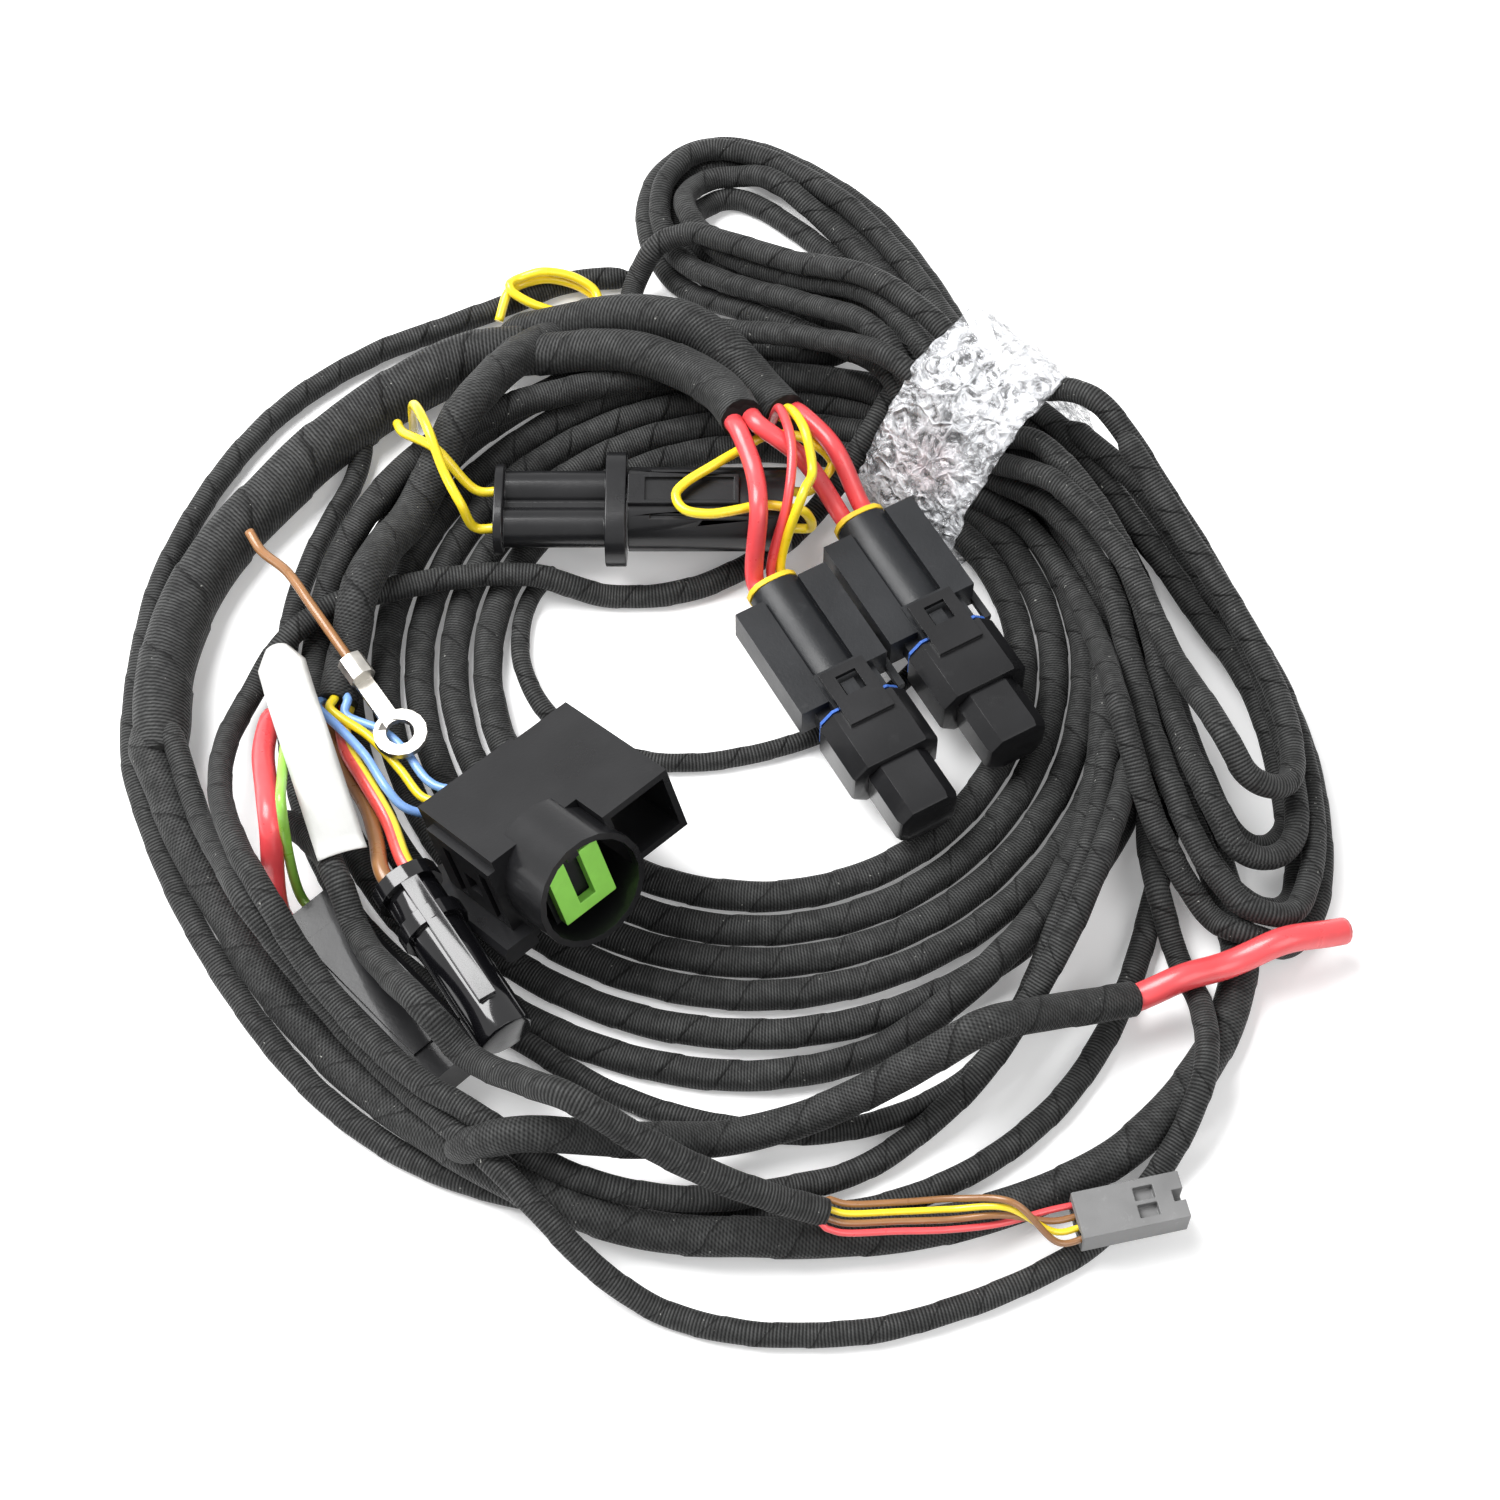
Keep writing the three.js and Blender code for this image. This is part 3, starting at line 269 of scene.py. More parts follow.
class Nodes:
    """Short names for building a material's nodes."""

    def __init__(self, name):
        self.material = bpy.data.materials.new(name)
        self.material.use_nodes = True
        self.tree = self.material.node_tree
        self.shader = self.tree.nodes["Principled BSDF"]

    def link(self, value, socket):
        if hasattr(value, "is_linked"):
            self.tree.links.new(value, socket)
        else:
            socket.default_value = value

    def math(self, operation, *values):
        node = self.tree.nodes.new("ShaderNodeMath")
        node.operation = operation
        for value, socket in zip(values, node.inputs):
            self.link(value, socket)
        return node.outputs[0]

    def wave(self, phase):
        """A sine wave from 0 to 1, with one period for each whole number of the phase."""
        turns = self.math("MULTIPLY", phase, 2 * math.pi)
        return self.math("MULTIPLY_ADD", self.math("SINE", turns), 0.5, 0.5)

    def along(self):
        """The way round and the way along a tube."""
        node = self.tree.nodes.new("ShaderNodeUVMap")
        node.uv_map = "along"
        split = self.tree.nodes.new("ShaderNodeSeparateXYZ")
        self.tree.links.new(node.outputs[0], split.inputs[0])
        return split.outputs[0], split.outputs[1]

    def place(self):
        return self.tree.nodes.new("ShaderNodeTexCoord").outputs["Object"]

    def noise(self, scale, detail=3.0, rough=0.55, distortion=0.0):
        node = self.tree.nodes.new("ShaderNodeTexNoise")
        self.tree.links.new(self.place(), node.inputs["Vector"])
        node.inputs["Scale"].default_value = scale
        node.inputs["Detail"].default_value = detail
        node.inputs["Roughness"].default_value = rough
        node.inputs["Distortion"].default_value = distortion
        return node.outputs[0]

    def remap(self, value, low, high, to_low=0.0, to_high=1.0):
        node = self.tree.nodes.new("ShaderNodeMapRange")
        for v, socket in zip((value, low, high, to_low, to_high), node.inputs):
            self.link(v, socket)
        return node.outputs[0]

    def mix(self, share, a, b):
        node = self.tree.nodes.new("ShaderNodeMix")
        node.data_type = "RGBA"
        self.link(share, node.inputs[0])
        for value, socket in ((a, node.inputs[6]), (b, node.inputs[7])):
            self.link(value if hasattr(value, "is_linked") else (*value, 1), socket)
        return node.outputs[2]

    def set(self, name, value):
        socket = self.shader.inputs[name]
        if isinstance(value, tuple) and socket.type == "RGBA":
            value = (*value, 1)
        self.link(value, socket)

    def bump(self, height, distance, strength=1.0, below=None):
        node = self.tree.nodes.new("ShaderNodeBump")
        node.inputs["Distance"].default_value = distance
        node.inputs["Strength"].default_value = strength
        self.tree.links.new(height, node.inputs["Height"])
        if below:
            self.tree.links.new(below, node.inputs["Normal"])
        return node.outputs[0]


def tape(name, rib, slant, wrap, twill=0.0):
    """Black cloth tape wound round a cord: ribs every rib cm, the tape's edge every wrap cm.

    The ribs gain slant periods in each turn round the cord, and twill is the share of a second,
    crossing set of threads.
    """
    n = Nodes(name)
    u, v = n.along()
    wander = n.math("SUBTRACT", n.noise(70, 3), 0.5)
    phase = n.math("ADD", n.math("DIVIDE", v, rib), n.math("MULTIPLY", u, slant))
    phase = n.math("ADD", phase, n.math("MULTIPLY", wander, 2.2))
    ribs = n.wave(phase)
    cross = n.math("SUBTRACT", n.math("MULTIPLY", u, 22.0), n.math("DIVIDE", v, rib * 1.6))
    threads = n.math("MULTIPLY", n.wave(cross), twill)
    weave = n.math("ADD", n.math("MULTIPLY", ribs, 1 - twill), threads)
    uneven = n.math("ADD", u, n.math("MULTIPLY", wander, 0.5))
    turn = n.math("FRACT", n.math("ADD", n.math("DIVIDE", v, wrap), uneven))
    edge = n.remap(turn, 0.0, 0.07, 1.0, 0.0)
    # Fine noise: a bump of worn fibres, and the strength of the painted highlight on the ribs
    wear_and_highlight_noise = n.noise(420, 5, 0.7)
    patches = n.noise(45, 4)
    dark = n.mix(patches, (0.0035, 0.0035, 0.0037), (0.010, 0.010, 0.010))
    # pale is a painted highlight: the crests of the ribs are coloured paler where the lamps would
    # catch them
    pale = n.mix(patches, (0.038, 0.039, 0.039), (0.105, 0.107, 0.105))
    # The share of painted highlight: the ribs, broken up by the fine noise
    light = n.math("MULTIPLY", weave, n.remap(wear_and_highlight_noise, 0.3, 0.7, 0.25, 1.0))
    colour = n.mix(light, dark, pale)
    colour = n.mix(n.math("MULTIPLY", edge, 0.85), colour, (0.002, 0.002, 0.002))
    lint = n.remap(n.noise(1100, 2), 0.735, 0.78, 0.0, 0.6)
    colour = n.mix(lint, colour, (0.45, 0.45, 0.42))
    n.set("Base Color", colour)
    n.set("Roughness", n.remap(weave, 0, 1, 0.8, 0.48))
    n.set("Sheen Weight", 0.05)
    n.set("Sheen Roughness", 0.4)
    n.set("Specular IOR Level", 0.14)
    crease = n.math("MULTIPLY", n.noise(170, 4, 0.6, 0.8), 1.2)
    height = n.math("ADD", n.math("MULTIPLY", weave, 0.5), crease)
    height = n.math("SUBTRACT", height, n.math("MULTIPLY", edge, 1.1))
    low = n.bump(height, 0.3 * MM, 0.8)
    n.set("Normal", n.bump(wear_and_highlight_noise, 0.05 * MM, 0.5, low))
    return n.material


def insulation(name, colour, stripe=None, deep=0.75):
    """Smooth wire insulation, with a stripe along it if one is given. deep darkens its soil."""
    n = Nodes(name)
    u, _ = n.along()
    soil = n.noise(90, 4)
    shade = tuple(c * deep for c in colour)
    paint = n.mix(n.remap(soil, 0.35, 0.7), colour, shade)
    if stripe:
        off_middle = n.math("ABSOLUTE", n.math("SUBTRACT", u, 0.5))
        inside = n.remap(off_middle, 0.13, 0.15, 1.0, 0.0)
        paint = n.mix(inside, paint, stripe)
    n.set("Base Color", paint)
    n.set("Roughness", n.remap(n.noise(300, 3), 0.3, 0.7, 0.24, 0.42))
    n.set("Coat Weight", 0.25)
    n.set("Coat Roughness", 0.2)
    n.set("Subsurface Weight", 0.08)
    n.set("Subsurface Radius", (0.001, 0.0006, 0.0004))
    n.set("Normal", n.bump(n.noise(160, 3), 0.08 * MM, 0.5))
    return n.material


def moulded(name, colour, rough, grain=0.05, coat=0.0, scuffs=0.35):
    """Moulded plastic with a fine grain, paler scuffs and dust."""
    n = Nodes(name)
    patches = n.noise(70, 4)
    scuff = n.remap(n.noise(240, 6, 0.7, 0.4), 0.6, 0.78, 0.0, scuffs)
    deep = tuple(c * 0.72 for c in colour)
    paint = n.mix(n.remap(patches, 0.3, 0.7), deep, colour)
    pale = tuple(min(1, c * 1.5 + 0.05) for c in colour)
    n.set("Base Color", n.mix(scuff, paint, pale))
    n.set("Roughness", n.remap(patches, 0.25, 0.75, rough * 0.8, min(1, rough * 1.25)))
    n.set("Coat Weight", coat)
    n.set("Coat Roughness", 0.08)
    n.set("Specular IOR Level", 0.25)
    low = n.bump(n.noise(160, 3), 0.06 * MM, 0.4)
    n.set("Normal", n.bump(n.noise(1500, 3, 0.7), grain * MM, 0.7, low))
    return n.material


def metal(name, colour, rough):
    """Dull metal with patches."""
    n = Nodes(name)
    n.set("Base Color", n.mix(n.noise(200, 4), colour, tuple(c * 0.7 for c in colour)))
    n.set("Metallic", 1.0)
    n.set("Roughness", n.remap(n.noise(420, 4), 0.3, 0.7, rough * 0.7, rough * 1.4))
    n.set("Normal", n.bump(n.noise(800, 3), 0.03 * MM, 0.5))
    return n.material


def clear_film(name, red_spot, reach):
    """Thin clear film: it shows mostly by the highlights on its folds. What lies under it shines
    through red within reach of red_spot."""
    n = Nodes(name)
    twist = n.tree.nodes.new("ShaderNodeTexNoise")
    twist.inputs["Scale"].default_value = 120
    n.tree.links.new(n.place(), twist.inputs["Vector"])
    warp = n.tree.nodes.new("ShaderNodeVectorMath")
    warp.operation = "MULTIPLY_ADD"
    n.tree.links.new(twist.outputs["Color"], warp.inputs[0])
    warp.inputs[1].default_value = (0.016, 0.016, 0.010)
    n.tree.links.new(n.place(), warp.inputs[2])
    cells = n.tree.nodes.new("ShaderNodeTexVoronoi")
    cells.feature = "DISTANCE_TO_EDGE"
    cells.inputs["Scale"].default_value = 190
    n.tree.links.new(warp.outputs[0], cells.inputs["Vector"])
    fold = n.remap(cells.outputs["Distance"], 0.0, 0.22, 1.0, 0.0)
    big = n.tree.nodes.new("ShaderNodeTexVoronoi")
    big.feature = "F1"
    big.inputs["Scale"].default_value = 120
    n.tree.links.new(warp.outputs[0], big.inputs["Vector"])
    facets = big.outputs["Distance"]
    streak = n.noise(240, 6, 0.7, 2.2)
    away = n.tree.nodes.new("ShaderNodeVectorMath")
    away.operation = "DISTANCE"
    n.tree.links.new(n.place(), away.inputs[0])
    away.inputs[1].default_value = red_spot
    spot = n.remap(away.outputs["Value"], reach * 0.45, reach, 1.0, 0.0)
    spot = n.math("MULTIPLY", spot, n.remap(streak, 0.4, 0.6, 0.2, 0.9))
    # The film's white is partly painted highlight: its folds and streaks are coloured white and
    # made opaque, beside the real gloss of its coat
    clear = n.mix(streak, (0.96, 0.97, 1.0), (0.80, 0.82, 0.86))
    n.set("Base Color", n.mix(spot, clear, (0.20, 0.012, 0.03)))
    n.set("Roughness", n.remap(n.noise(120, 4), 0.3, 0.7, 0.04, 0.14))
    n.set("IOR", 1.5)
    n.set("Specular IOR Level", 1.0)
    # The folds painted white and opaque: a painted highlight
    folded = n.math("MULTIPLY", fold, n.remap(n.noise(200, 3), 0.4, 0.6, 0.2, 0.9))
    shown = n.math("MAXIMUM", n.remap(streak, 0.46, 0.60, 0.08, 0.8), folded)
    n.set("Alpha", n.math("MAXIMUM", shown, n.math("MULTIPLY", spot, 0.75)))
    n.set("Coat Weight", 0.8)
    n.set("Coat Roughness", 0.04)
    height = n.math("ADD", n.math("ADD", fold, n.math("MULTIPLY", facets, 2.5)), streak)
    n.set("Normal", n.bump(height, 1.1 * MM, 0.9))
    return n.material


RIBBED = tape("ribbed_tape", 0.056, 1.0, 1.1, twill=0.2)
TWILL = tape("twill_tape", 0.060, 3.0, 1.5, twill=0.45)
DIAGONAL = tape("diagonal_tape", 0.075, 9.0, 1.9, twill=0.15)
FINE = tape("fine_tape", 0.064, 0.4, 0.95, twill=0.12)
RED = insulation("red_insulation", (0.83, 0.075, 0.085))
YELLOW = insulation("yellow_insulation", (0.95, 0.72, 0.02), deep=0.85)
BROWN = insulation("brown_insulation", (0.30, 0.135, 0.045))
BLUE = insulation("blue_insulation", (0.22, 0.42, 0.86))
STRIPED = insulation("striped_insulation", (0.82, 0.08, 0.07), stripe=(0.95, 0.72, 0.05))
GREEN = insulation("green_insulation", (0.30, 0.62, 0.08), stripe=(0.85, 0.86, 0.8))
HOUSING = moulded("housing_plastic", (0.016, 0.017, 0.019), 0.40, scuffs=0.25)
SATIN = moulded("satin_plastic", (0.010, 0.010, 0.011), 0.30, grain=0.03, coat=0.15, scuffs=0.12)
GLOSS = moulded("gloss_plastic", (0.005, 0.005, 0.006), 0.14, grain=0.01, coat=0.7, scuffs=0.06)
GREY = moulded("grey_plastic", (0.20, 0.20, 0.20), 0.55)
LIME = moulded("lime_plastic", (0.36, 0.86, 0.13), 0.38, scuffs=0.2)
SEAL_BLUE = moulded("seal_blue", (0.06, 0.16, 0.55), 0.5)
SEAL_YELLOW = moulded("seal_yellow", (0.90, 0.60, 0.04), 0.5)
TIN = metal("tinned_metal", (0.56, 0.54, 0.50), 0.36)
FILM = clear_film("clear_film", (33 * MM, 31 * MM, 27 * MM), 14 * MM)
PAPER = moulded("label_paper", (0.66, 0.66, 0.64), 0.5, scuffs=0.1)

# Taped cords: solids in the frame, diameter in mm, tape, where they come out, and the way along
# the cord that one wrap of the tape takes, in cm

TAPED = {
    "trunk": (["trunk"], 11.0, DIAGONAL, "fuse_sleeve_low", 1.9),
    "fuse_sleeve_low": (["fuse_sleeve_low"], 8.4, DIAGONAL, "trunk", 1.9),
    "fuse_sleeve_high": (["fuse_sleeve_high"], 8.4, DIAGONAL, "trunk", 1.9),
    "taped_stub": (["taped_stub"], 7.6, TWILL, "coil_last_turn", 1.5),
    "main_strand": (["main_strand"], 7.0, TWILL, "trunk", 1.5),
    "red_branch": (["red_branch"], 6.4, TWILL, "main_strand", 1.5),
    "coil_inner_turns": (
        ["coil_inner_turns_1", "coil_inner_turns_2"], 5.6, RIBBED, "hank_low", 1.1,
    ),
    "coil_main_turn": (["coil_main_turn"], 5.6, RIBBED, "hank_low", 1.1),
    "coil_last_turn": (["coil_last_turn"], 5.6, RIBBED, "hank_low", 1.1),
    "plug_branch": (["plug_branch"], 5.0, FINE, "crossing_branch", 0.95),
    "left_branch": (["left_branch"], 4.6, FINE, "trunk", 0.95),
    "crossing_branch": (["crossing_branch"], 4.6, FINE, "hank_low", 0.95),
    "loop_strand": (["loop_strand"], 4.4, FINE, "trunk", 0.95),
    "thin_branch": (["thin_branch"], 4.2, FINE, "taped_stub", 0.95),
    "inner_branch": (["inner_branch"], 3.6, FINE, "hank_low", 0.95),
    "hank_low": (["hank_low"], 4.5, FINE, "hank_middle", 0.95),
    "hank_middle": (["hank_middle"], 4.5, FINE, "hank_top", 0.95),
    "hank_top": (["hank_top"], 4.5, FINE, "hank_middle", 0.95),
}

# Leads: diameter in mm, insulation, where they come out, what is on the far end

LEADS = {
    "red_cable": (5.0, RED, "red_branch", None),
    "feed_a": (3.6, RED, "fuse_sleeve_low", "holder_a_body"),
    "feed_b1": (3.6, RED, "fuse_sleeve_low", "holder_b_body"),
    "feed_b2": (3.6, RED, "fuse_sleeve_high", "holder_b_body"),
    "signal_a_yellow": (1.9, YELLOW, "fuse_sleeve_high", "holder_a_body"),
    "signal_a_red": (1.9, RED, "fuse_sleeve_high", "holder_a_body"),
    "yellow_lead_1": (1.9, YELLOW, "trunk", "sealed_socket"),
    "yellow_lead_2": (1.9, YELLOW, "trunk", "sealed_socket"),
    "yellow_jumper": (1.9, YELLOW, "sealed_plug", "sealed_plug"),
    "yellow_coil": (1.9, YELLOW, "trunk", "object"),
    "brown_lead": (3.0, BROWN, "taped_stub", "round_connector"),
    "striped_lead": (3.0, STRIPED, "taped_stub", "round_connector"),
    "blue_lead_1": (1.7, BLUE, "taped_stub", "green_connector_housing"),
    "yellow_signal": (1.7, YELLOW, "taped_stub", "green_connector_housing"),
    "blue_lead_2": (1.7, BLUE, "taped_stub", "green_connector_housing"),
    "box_red": (4.2, RED, "crossing_branch", "flat_box"),
    "box_green": (1.9, GREEN, "crossing_branch", "flat_box"),
    "plug_lead_1": (1.2, RED, "plug_branch", "grey_plug"),
    "plug_lead_2": (1.2, BROWN, "plug_branch", "grey_plug"),
    "plug_lead_3": (1.2, YELLOW, "plug_branch", "grey_plug"),
    "plug_lead_4": (1.2, BROWN, "plug_branch", "grey_plug"),
    "terminal_lead": (1.9, BROWN, "trunk", "ring_terminal"),
}


def joined_line(nodes, parent):
    """The middle line of one cord that the frame may hold in several nodes, from its exit on."""
    lines = [middle_line(node) for node in nodes]
    line = lines[0]
    for part in lines[1:]:
        gaps = {
            (a, b): ((line[-1] if a else line[0]) - (part[-1] if b else part[0])).length
            for a in (0, 1)
            for b in (0, 1)
        }
        a, b = min(gaps, key=gaps.get)
        line = line if a else line[::-1]
        part = part[::-1] if b else part
        seam = (line[-1] + part[0]) / 2
        line = [*line[:-1], seam, *part[1:]]
    if nearest(parent, line[-1]) < nearest(parent, line[0]):
        line = line[::-1]
    return line


# The lead or cable that comes out of a taped cord's open end
OPEN_ENDS = {
    "taped_stub": "brown_lead",
    "plug_branch": "plug_lead_1",
    "red_branch": "red_cable",
    "fuse_sleeve_low": "feed_a",
    "fuse_sleeve_high": "feed_b2",
}

CORD_STEP = 0.9 * MM  # between the rings of a taped cord
LEAD_STEP = 0.8 * MM
CORD_SIDES = 18
LEAD_SIDES = 14
LEAST_BEND = 1.5  # a taped cord's tightest bend in diameters

# Cords that run straight on under the tape of the trunk, and by how much
RUN_ON = {
    "main_strand": 9 * MM,
    "loop_strand": 9 * MM,
    "fuse_sleeve_low": 9 * MM,
    "fuse_sleeve_high": 9 * MM,
}
# Cords that bend into another one under its tape
MERGES = {"taped_stub": "trunk", "thin_branch": "trunk", "red_branch": "main_strand"}
# What a cord's closed end is wound down to, as a share of its size
BLUNT_END = {"trunk": 0.78}
POINTED_END = 0.35

# Shares of a cord's radius
TAPE_STEP = 0.06
LUMPS = 0.06
SLACK = 0.02
END_LENGTH = 1.6


def wrapped(wrap, radius, seed, length, open_end, end_size):
    """The tape's step at its edge, the bundle's slight lumps, and ends wound down to a point."""

    def shape(far, share):
        turn = (far / wrap + share) % 1.0
        step = TAPE_STEP * radius * max(0.0, 1 - turn / 0.8)
        around = 2 * math.pi * share
        at = Vector((far / (5 * radius), seed * 7.3 + math.sin(around), math.cos(around)))
        size = radius + step + LUMPS * radius * noise.noise(at) - SLACK * radius
        ease = min(1.0, far / (END_LENGTH * radius))
        if not open_end:
            ease = min(ease, (length - far) / (END_LENGTH * radius))
        ease = max(0.0, min(1.0, ease))
        return size * (end_size + (1 - end_size) * math.sin(ease * math.pi / 2)) - radius

    return shape


def run_on(line, reach):
    """The line with its start carried straight on."""
    step = (line[0] - line[5]).normalized() * CORD_STEP
    return [line[0] + step * k for k in range(round(reach / CORD_STEP), 0, -1)] + line


def merged(line, other, from_start):
    """The line with its hidden end, its start or else the one near the other cord, carried on
    until it lies inside that cord."""

    def away(place):
        return min((place - q).length for q in other)

    near_start = from_start or away(line[0]) < away(line[-1])
    line = line if near_start else line[::-1]
    start, heading = line[0], (line[0] - line[5]).normalized()
    at = min(range(len(other)), key=lambda k: (other[k] - start).length)
    ahead = (other[min(at + 1, len(other) - 1)] - other[max(at - 1, 0)]).normalized()
    if ahead.dot(heading) < 0:
        ahead = -ahead
    reach = (other[at] - start).length
    bend = start + heading * reach * 0.8
    goal = other[at] + ahead * reach * 1.3
    curve = []
    count = max(6, round(reach * 1.8 / CORD_STEP))
    for k in range(count, 0, -1):
        t = k / count
        curve.append(start * (1 - t) ** 2 + bend * (2 * t * (1 - t)) + goal * t**2)
    line = curve + line
    return line if near_start else line[::-1]


def sunk(line, parent):
    """The lead with its start carried on into the tape that it comes out of."""
    if parent not in lines:
        return line
    other = lines[parent]
    at = min(range(len(other)), key=lambda k: (other[k] - line[0]).length)
    if (other[at] - line[0]).length > (TAPED[parent][1] / 2 + 1.2) * MM:
        return line  # it comes out from behind the cord
    inner = min(max(at, 4), len(other) - 5)
    goal = line[0].lerp(other[inner], 0.65)
    return [line[0].lerp(goal, k / 4) for k in range(4, 0, -1)] + line


def taped_cord(name, nodes, diameter, material, parent, wrap_cm):
    """A taped cord in place of its solids. It returns the cord's line."""
    line = smooth_line(joined_line(nodes, parent), CORD_STEP)
    line = eased_bends(line, LEAST_BEND * diameter * MM)
    mouth = OPEN_ENDS.get(name)
    if mouth and nearest(mouth, line[0]) < nearest(mouth, line[-1]):
        line = line[::-1]
    if name in RUN_ON:
        near_start = nearest("trunk", line[0]) < nearest("trunk", line[-1])
        line = line if near_start else line[::-1]
        line = run_on(line, RUN_ON[name])
        line = line if near_start else line[::-1]
    if name in MERGES:
        line = merged(line, lines[MERGES[name]], bool(mouth))
    length = line_length(line)
    radius = diameter / 2 * MM
    seed = sum(map(ord, name)) % 17 / 17
    end_size = BLUNT_END.get(name, POINTED_END)
    form = wrapped(wrap_cm / 100, radius, seed, length, bool(mouth), end_size)
    piece = tube("cord_" + name, line, radius, material, CORD_SIDES, form)
    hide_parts(*nodes)
    return line


STRAIGHTENED = {"red_cable"}


def straightened(line):
    """The stiff cable lies straight on the highest of what is under it."""
    start, end = line[0], line[-1]
    eased = []
    for k, place in enumerate(line):
        share = k / (len(line) - 1)
        flat = start.lerp(end, share)
        weight = min(1.0, 4 * min(share, 1 - share))
        eased.append(place.lerp(Vector((flat.x, flat.y, max(flat.z, place.z))), weight))
    for _ in range(30):
        inner = [(a + b * 2 + c) / 4 for a, b, c in zip(eased, eased[1:], eased[2:])]
        eased = [eased[0], *inner, eased[-1]]
    return eased


def lead(name, diameter, material, parent):
    """A lead in place of its solid. It returns the lead's line."""
    line = smooth_line(joined_line([name], parent), LEAD_STEP)
    if name in STRAIGHTENED:
        line = straightened(line)
    line = sunk(line, parent)
    piece = tube("lead_" + name, line, diameter / 2 * MM, material, LEAD_SIDES)
    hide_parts(name)
    return line


def frame_slot(node):
    """The material slot that the record gives to a node."""
    for part in frame["record"]["subparts"]:
        if part["node"] == node:
            return part["material_slot"]
    return None


lines = {}  # of the cords made so far
for name, (nodes, diameter, material, parent, wrap) in TAPED.items():
    lines[name] = taped_cord(name, nodes, diameter, material, parent, wrap)
for name, (diameter, material, parent, far_piece) in LEADS.items():
    lines[name] = lead(name, diameter, material, parent)

# Rigid pieces: the frame's own solids with softened edges, whose width is in mm

FINISHES = {
    "housing_black": (HOUSING, 0.28),
    "gloss_black": (GLOSS, 0.25),
    "grey": (GREY, 0.2),
    "lime": (LIME, 0.25),
    "seal_blue": (SEAL_BLUE, 0.1),
    "seal_yellow": (SEAL_YELLOW, 0.2),
    "tin": (TIN, 0.18),
}

WELD_REACH = 0.004 * MM
SHARP_ANGLE = math.radians(32)


def dress(node, material, edge):
    """The frame's solid with its material, joined corners, soft edges and smooth round faces."""
    piece = frame["nodes"][node]
    mesh = piece.data
    mesh.materials.clear()
    mesh.materials.append(material)
    if "custom_normal" in mesh.attributes:
        mesh.attributes.remove(mesh.attributes["custom_normal"])
    for face in mesh.polygons:
        face.use_smooth = True
    weld = piece.modifiers.new("weld", "WELD")
    weld.merge_threshold = WELD_REACH
    bevel = piece.modifiers.new("edges", "BEVEL")
    bevel.width = edge * MM
    bevel.segments = 2
    bevel.limit_method = "ANGLE"
    bevel.angle_limit = SHARP_ANGLE
    bevel.harden_normals = True
    bevel.use_clamp_overlap = True


for node in frame["nodes"]:
    if frame_slot(node) in FINISHES:
        dress(node, *FINISHES[frame_slot(node)])

# Housings with a satin finish, and their edges in mm
SATIN_EDGES = {
    "holder_a_cap": 0.9,
    "holder_b_cap": 0.9,
    "sealed_socket": 0.3,
    "sealed_plug": 0.3,
    "flat_box": 0.3,
    "green_connector_housing": 0.35,
}
for node, edge in SATIN_EDGES.items():
    frame["nodes"][node].data.materials[0] = SATIN
    frame["nodes"][node].modifiers["edges"].width = edge * MM
    frame["nodes"][node].modifiers["edges"].segments = 3

# The film: crinkled clear foil round the hank

FILM_MESH = 2.2 * MM  # longer edges are divided
FOLD_HEIGHT = 1.1
CREASE_DEPTH = 0.9


def film_sleeve():
    """The frame's sleeve, divided and crinkled by seeded noise."""
    points = welded("film")[0]
    solid = frame["nodes"]["film"]
    mesh = bmesh.new()
    mesh.from_mesh(solid.data)
    bmesh.ops.remove_doubles(mesh, verts=mesh.verts, dist=0.01 * MM)
    bmesh.ops.triangulate(mesh, faces=mesh.faces)
    for _ in range(2):
        long_edges = [e for e in mesh.edges if e.calc_length() > FILM_MESH]
        bmesh.ops.subdivide_edges(mesh, edges=long_edges, cuts=3, use_grid_fill=True)
    bmesh.ops.triangulate(mesh, faces=mesh.faces)
    mesh.normal_update()
    for vertex in mesh.verts:
        p = vertex.co
        fold = noise.turbulence(p * 110, 4, True, amplitude_scale=0.6, frequency_scale=2.1)
        crease = abs(noise.noise(p * 190 + Vector((3, 1, 7))))
        out = (fold - 0.5) * FOLD_HEIGHT - crease * CREASE_DEPTH
        vertex.co = p + vertex.normal * out * MM
    for face in mesh.faces:
        face.smooth = True
    data = bpy.data.meshes.new("film_sleeve")
    mesh.to_mesh(data)
    mesh.free()
    data.materials.append(FILM)
    piece = bpy.data.objects.new("film_sleeve", data)
    bpy.context.scene.collection.objects.link(piece)
    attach(piece, "root")
    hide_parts("film")


film_sleeve()

# The label: a blank paper flag folded over a lead, lying on the leads beside it

LABEL_WIDTH = 9.0 * MM
LABEL_LINE = [(-82.7, -2.5), (-77.7, -18.5), (-72.2, -34.5), (-66.7, -49.5)]  # in mm
LABEL_ACROSS = Vector((0.95, 0.32, 0)).normalized()
LABEL_STRIPS = 8
LABEL_CLEARANCE = 0.5 * MM
LABEL_CURL = 1.5 * MM
LABEL_THICKNESS = 0.25 * MM
OVERHEAD = 0.06  # above every piece


def scenery():
    """Every shown piece as one tree for finding heights."""
    corners, faces = [], []
    depsgraph = bpy.context.evaluated_depsgraph_get()
    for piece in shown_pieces():
        shown = piece.evaluated_get(depsgraph)
        mesh = shown.to_mesh()
        start = len(corners)
        corners += [shown.matrix_world @ v.co for v in mesh.vertices]
        faces += [[start + i for i in p.vertices] for p in mesh.polygons]
        shown.to_mesh_clear()
    return BVHTree.FromPolygons(corners, faces)


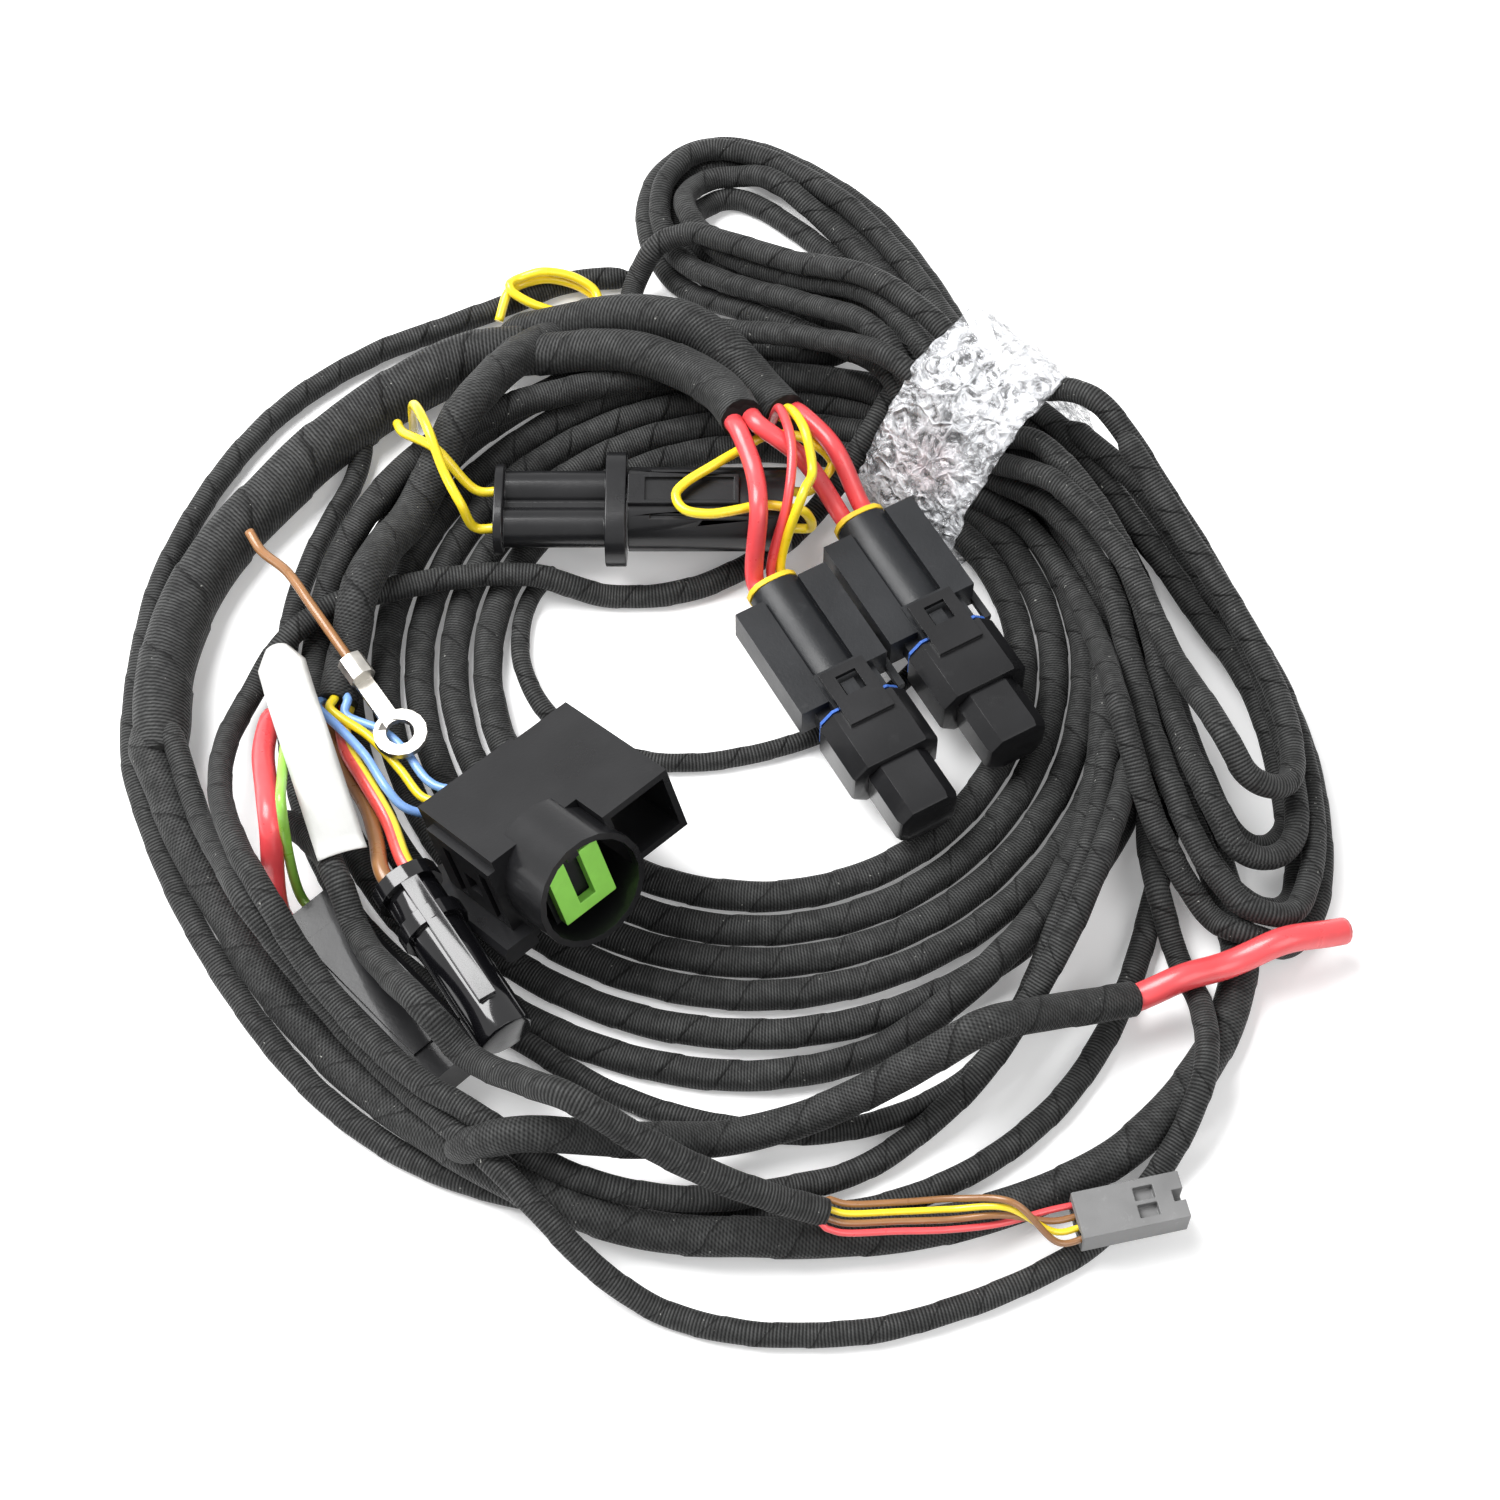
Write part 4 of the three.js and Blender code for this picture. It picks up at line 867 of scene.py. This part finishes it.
def label():
    """The paper lies on the highest places under it and sags a little between them."""
    tree = scenery()
    line = smooth_line([Vector((x * MM, y * MM, 0)) for x, y in LABEL_LINE], 1.0 * MM)
    heights = []
    for place in line:
        tops = []
        for k in range(-4, 5):
            at = place + LABEL_ACROSS * (k / 4 * LABEL_WIDTH / 2)
            hit = tree.ray_cast(Vector((at.x, at.y, OVERHEAD)), Vector((0, 0, -1)))[0]
            tops.append(hit.z if hit else 0)
        heights.append(max(tops))
    eased = []
    for k in range(len(line)):
        best = 0.0
        for j, z in enumerate(heights):
            best = max(best, z - 0.06 * abs(j - k) ** 1.6 * MM)
        eased.append(best + LABEL_CLEARANCE)
    mesh = bmesh.new()
    rows = []
    for k, place in enumerate(line):
        row = []
        for c in range(LABEL_STRIPS + 1):
            share = c / LABEL_STRIPS * 2 - 1
            taper = min(1.0, 0.45 + 0.55 * (k / 6))
            at = place + LABEL_ACROSS * (share * taper * LABEL_WIDTH / 2)
            curl = LABEL_CURL * (1 - share * share) * (0.7 + 0.3 * math.sin(k * 0.21))
            row.append(mesh.verts.new((at.x, at.y, eased[k] + curl)))
        rows.append(row)
    for a, b in zip(rows, rows[1:]):
        for c in range(LABEL_STRIPS):
            mesh.faces.new((a[c], b[c], b[c + 1], a[c + 1])).smooth = True
    data = bpy.data.meshes.new("label_flag")
    mesh.to_mesh(data)
    mesh.free()
    data.materials.append(PAPER)
    piece = bpy.data.objects.new("label_flag", data)
    bpy.context.scene.collection.objects.link(piece)
    thick = piece.modifiers.new("paper", "SOLIDIFY")
    thick.thickness = LABEL_THICKNESS
    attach(piece, "root")


label()

# Floor and light

FLOOR_SIZE = 6.0
FLOOR_GLOW = 0.2  # makes up the floor's white for the rays that show the background
WORLD_LIGHT = 0.34
WORLD_WHITE = 1.0


def backdrop_rays(tree):
    """One for the rays that show the background: the camera's, off gloss and through film."""
    path = tree.nodes.new("ShaderNodeLightPath")
    seen = path.outputs["Is Camera Ray"]
    for name in ("Is Glossy Ray", "Is Transmission Ray"):
        either = tree.nodes.new("ShaderNodeMath")
        either.operation = "MAXIMUM"
        tree.links.new(seen, either.inputs[0])
        tree.links.new(path.outputs[name], either.inputs[1])
        seen = either.outputs[0]
    return seen


def floor():
    """A plain white ground."""
    mesh = bpy.data.meshes.new("floor")
    h = FLOOR_SIZE / 2
    mesh.from_pydata([(-h, -h, 0), (h, -h, 0), (h, h, 0), (-h, h, 0)], [], [(0, 1, 2, 3)])
    piece = bpy.data.objects.new("floor", mesh)
    bpy.context.scene.collection.objects.link(piece)
    n = Nodes("floor_white")
    n.set("Base Color", n.mix(n.noise(40, 2), (0.93, 0.93, 0.93), (0.915, 0.915, 0.915)))
    n.set("Roughness", 0.6)
    n.set("Specular IOR Level", 0.2)
    n.set("Emission Color", (1.0, 1.0, 1.0))
    n.set("Emission Strength", n.math("MULTIPLY", backdrop_rays(n.tree), FLOOR_GLOW))
    mesh.materials.append(n.material)


def area_light(name, place, size, power):
    """A soft square lamp that faces the middle of the floor."""
    data = bpy.data.lights.new(name, "AREA")
    data.shape = "SQUARE"
    data.size = size
    data.energy = power
    lamp = bpy.data.objects.new(name, data)
    bpy.context.scene.collection.objects.link(lamp)
    lamp.location = place
    lamp.rotation_mode = "QUATERNION"
    lamp.rotation_quaternion = (-Vector(place)).to_track_quat("-Z", "Y")


floor()
area_light("overhead", (-0.50, 0.22, 0.82), 0.7, 20.0)
area_light("front", (0.55, -0.55, 0.75), 0.7, 5.0)

world = bpy.data.worlds.new("studio")
bpy.context.scene.world = world
world.use_nodes = True
tree = world.node_tree
strength = tree.nodes.new("ShaderNodeMapRange")
tree.links.new(backdrop_rays(tree), strength.inputs["Value"])
strength.inputs["To Min"].default_value = WORLD_LIGHT
strength.inputs["To Max"].default_value = WORLD_WHITE
tree.nodes["Background"].inputs["Color"].default_value = (1, 1, 1, 1)
tree.links.new(strength.outputs[0], tree.nodes["Background"].inputs["Strength"])
bpy.context.scene.view_settings.view_transform = "Standard"
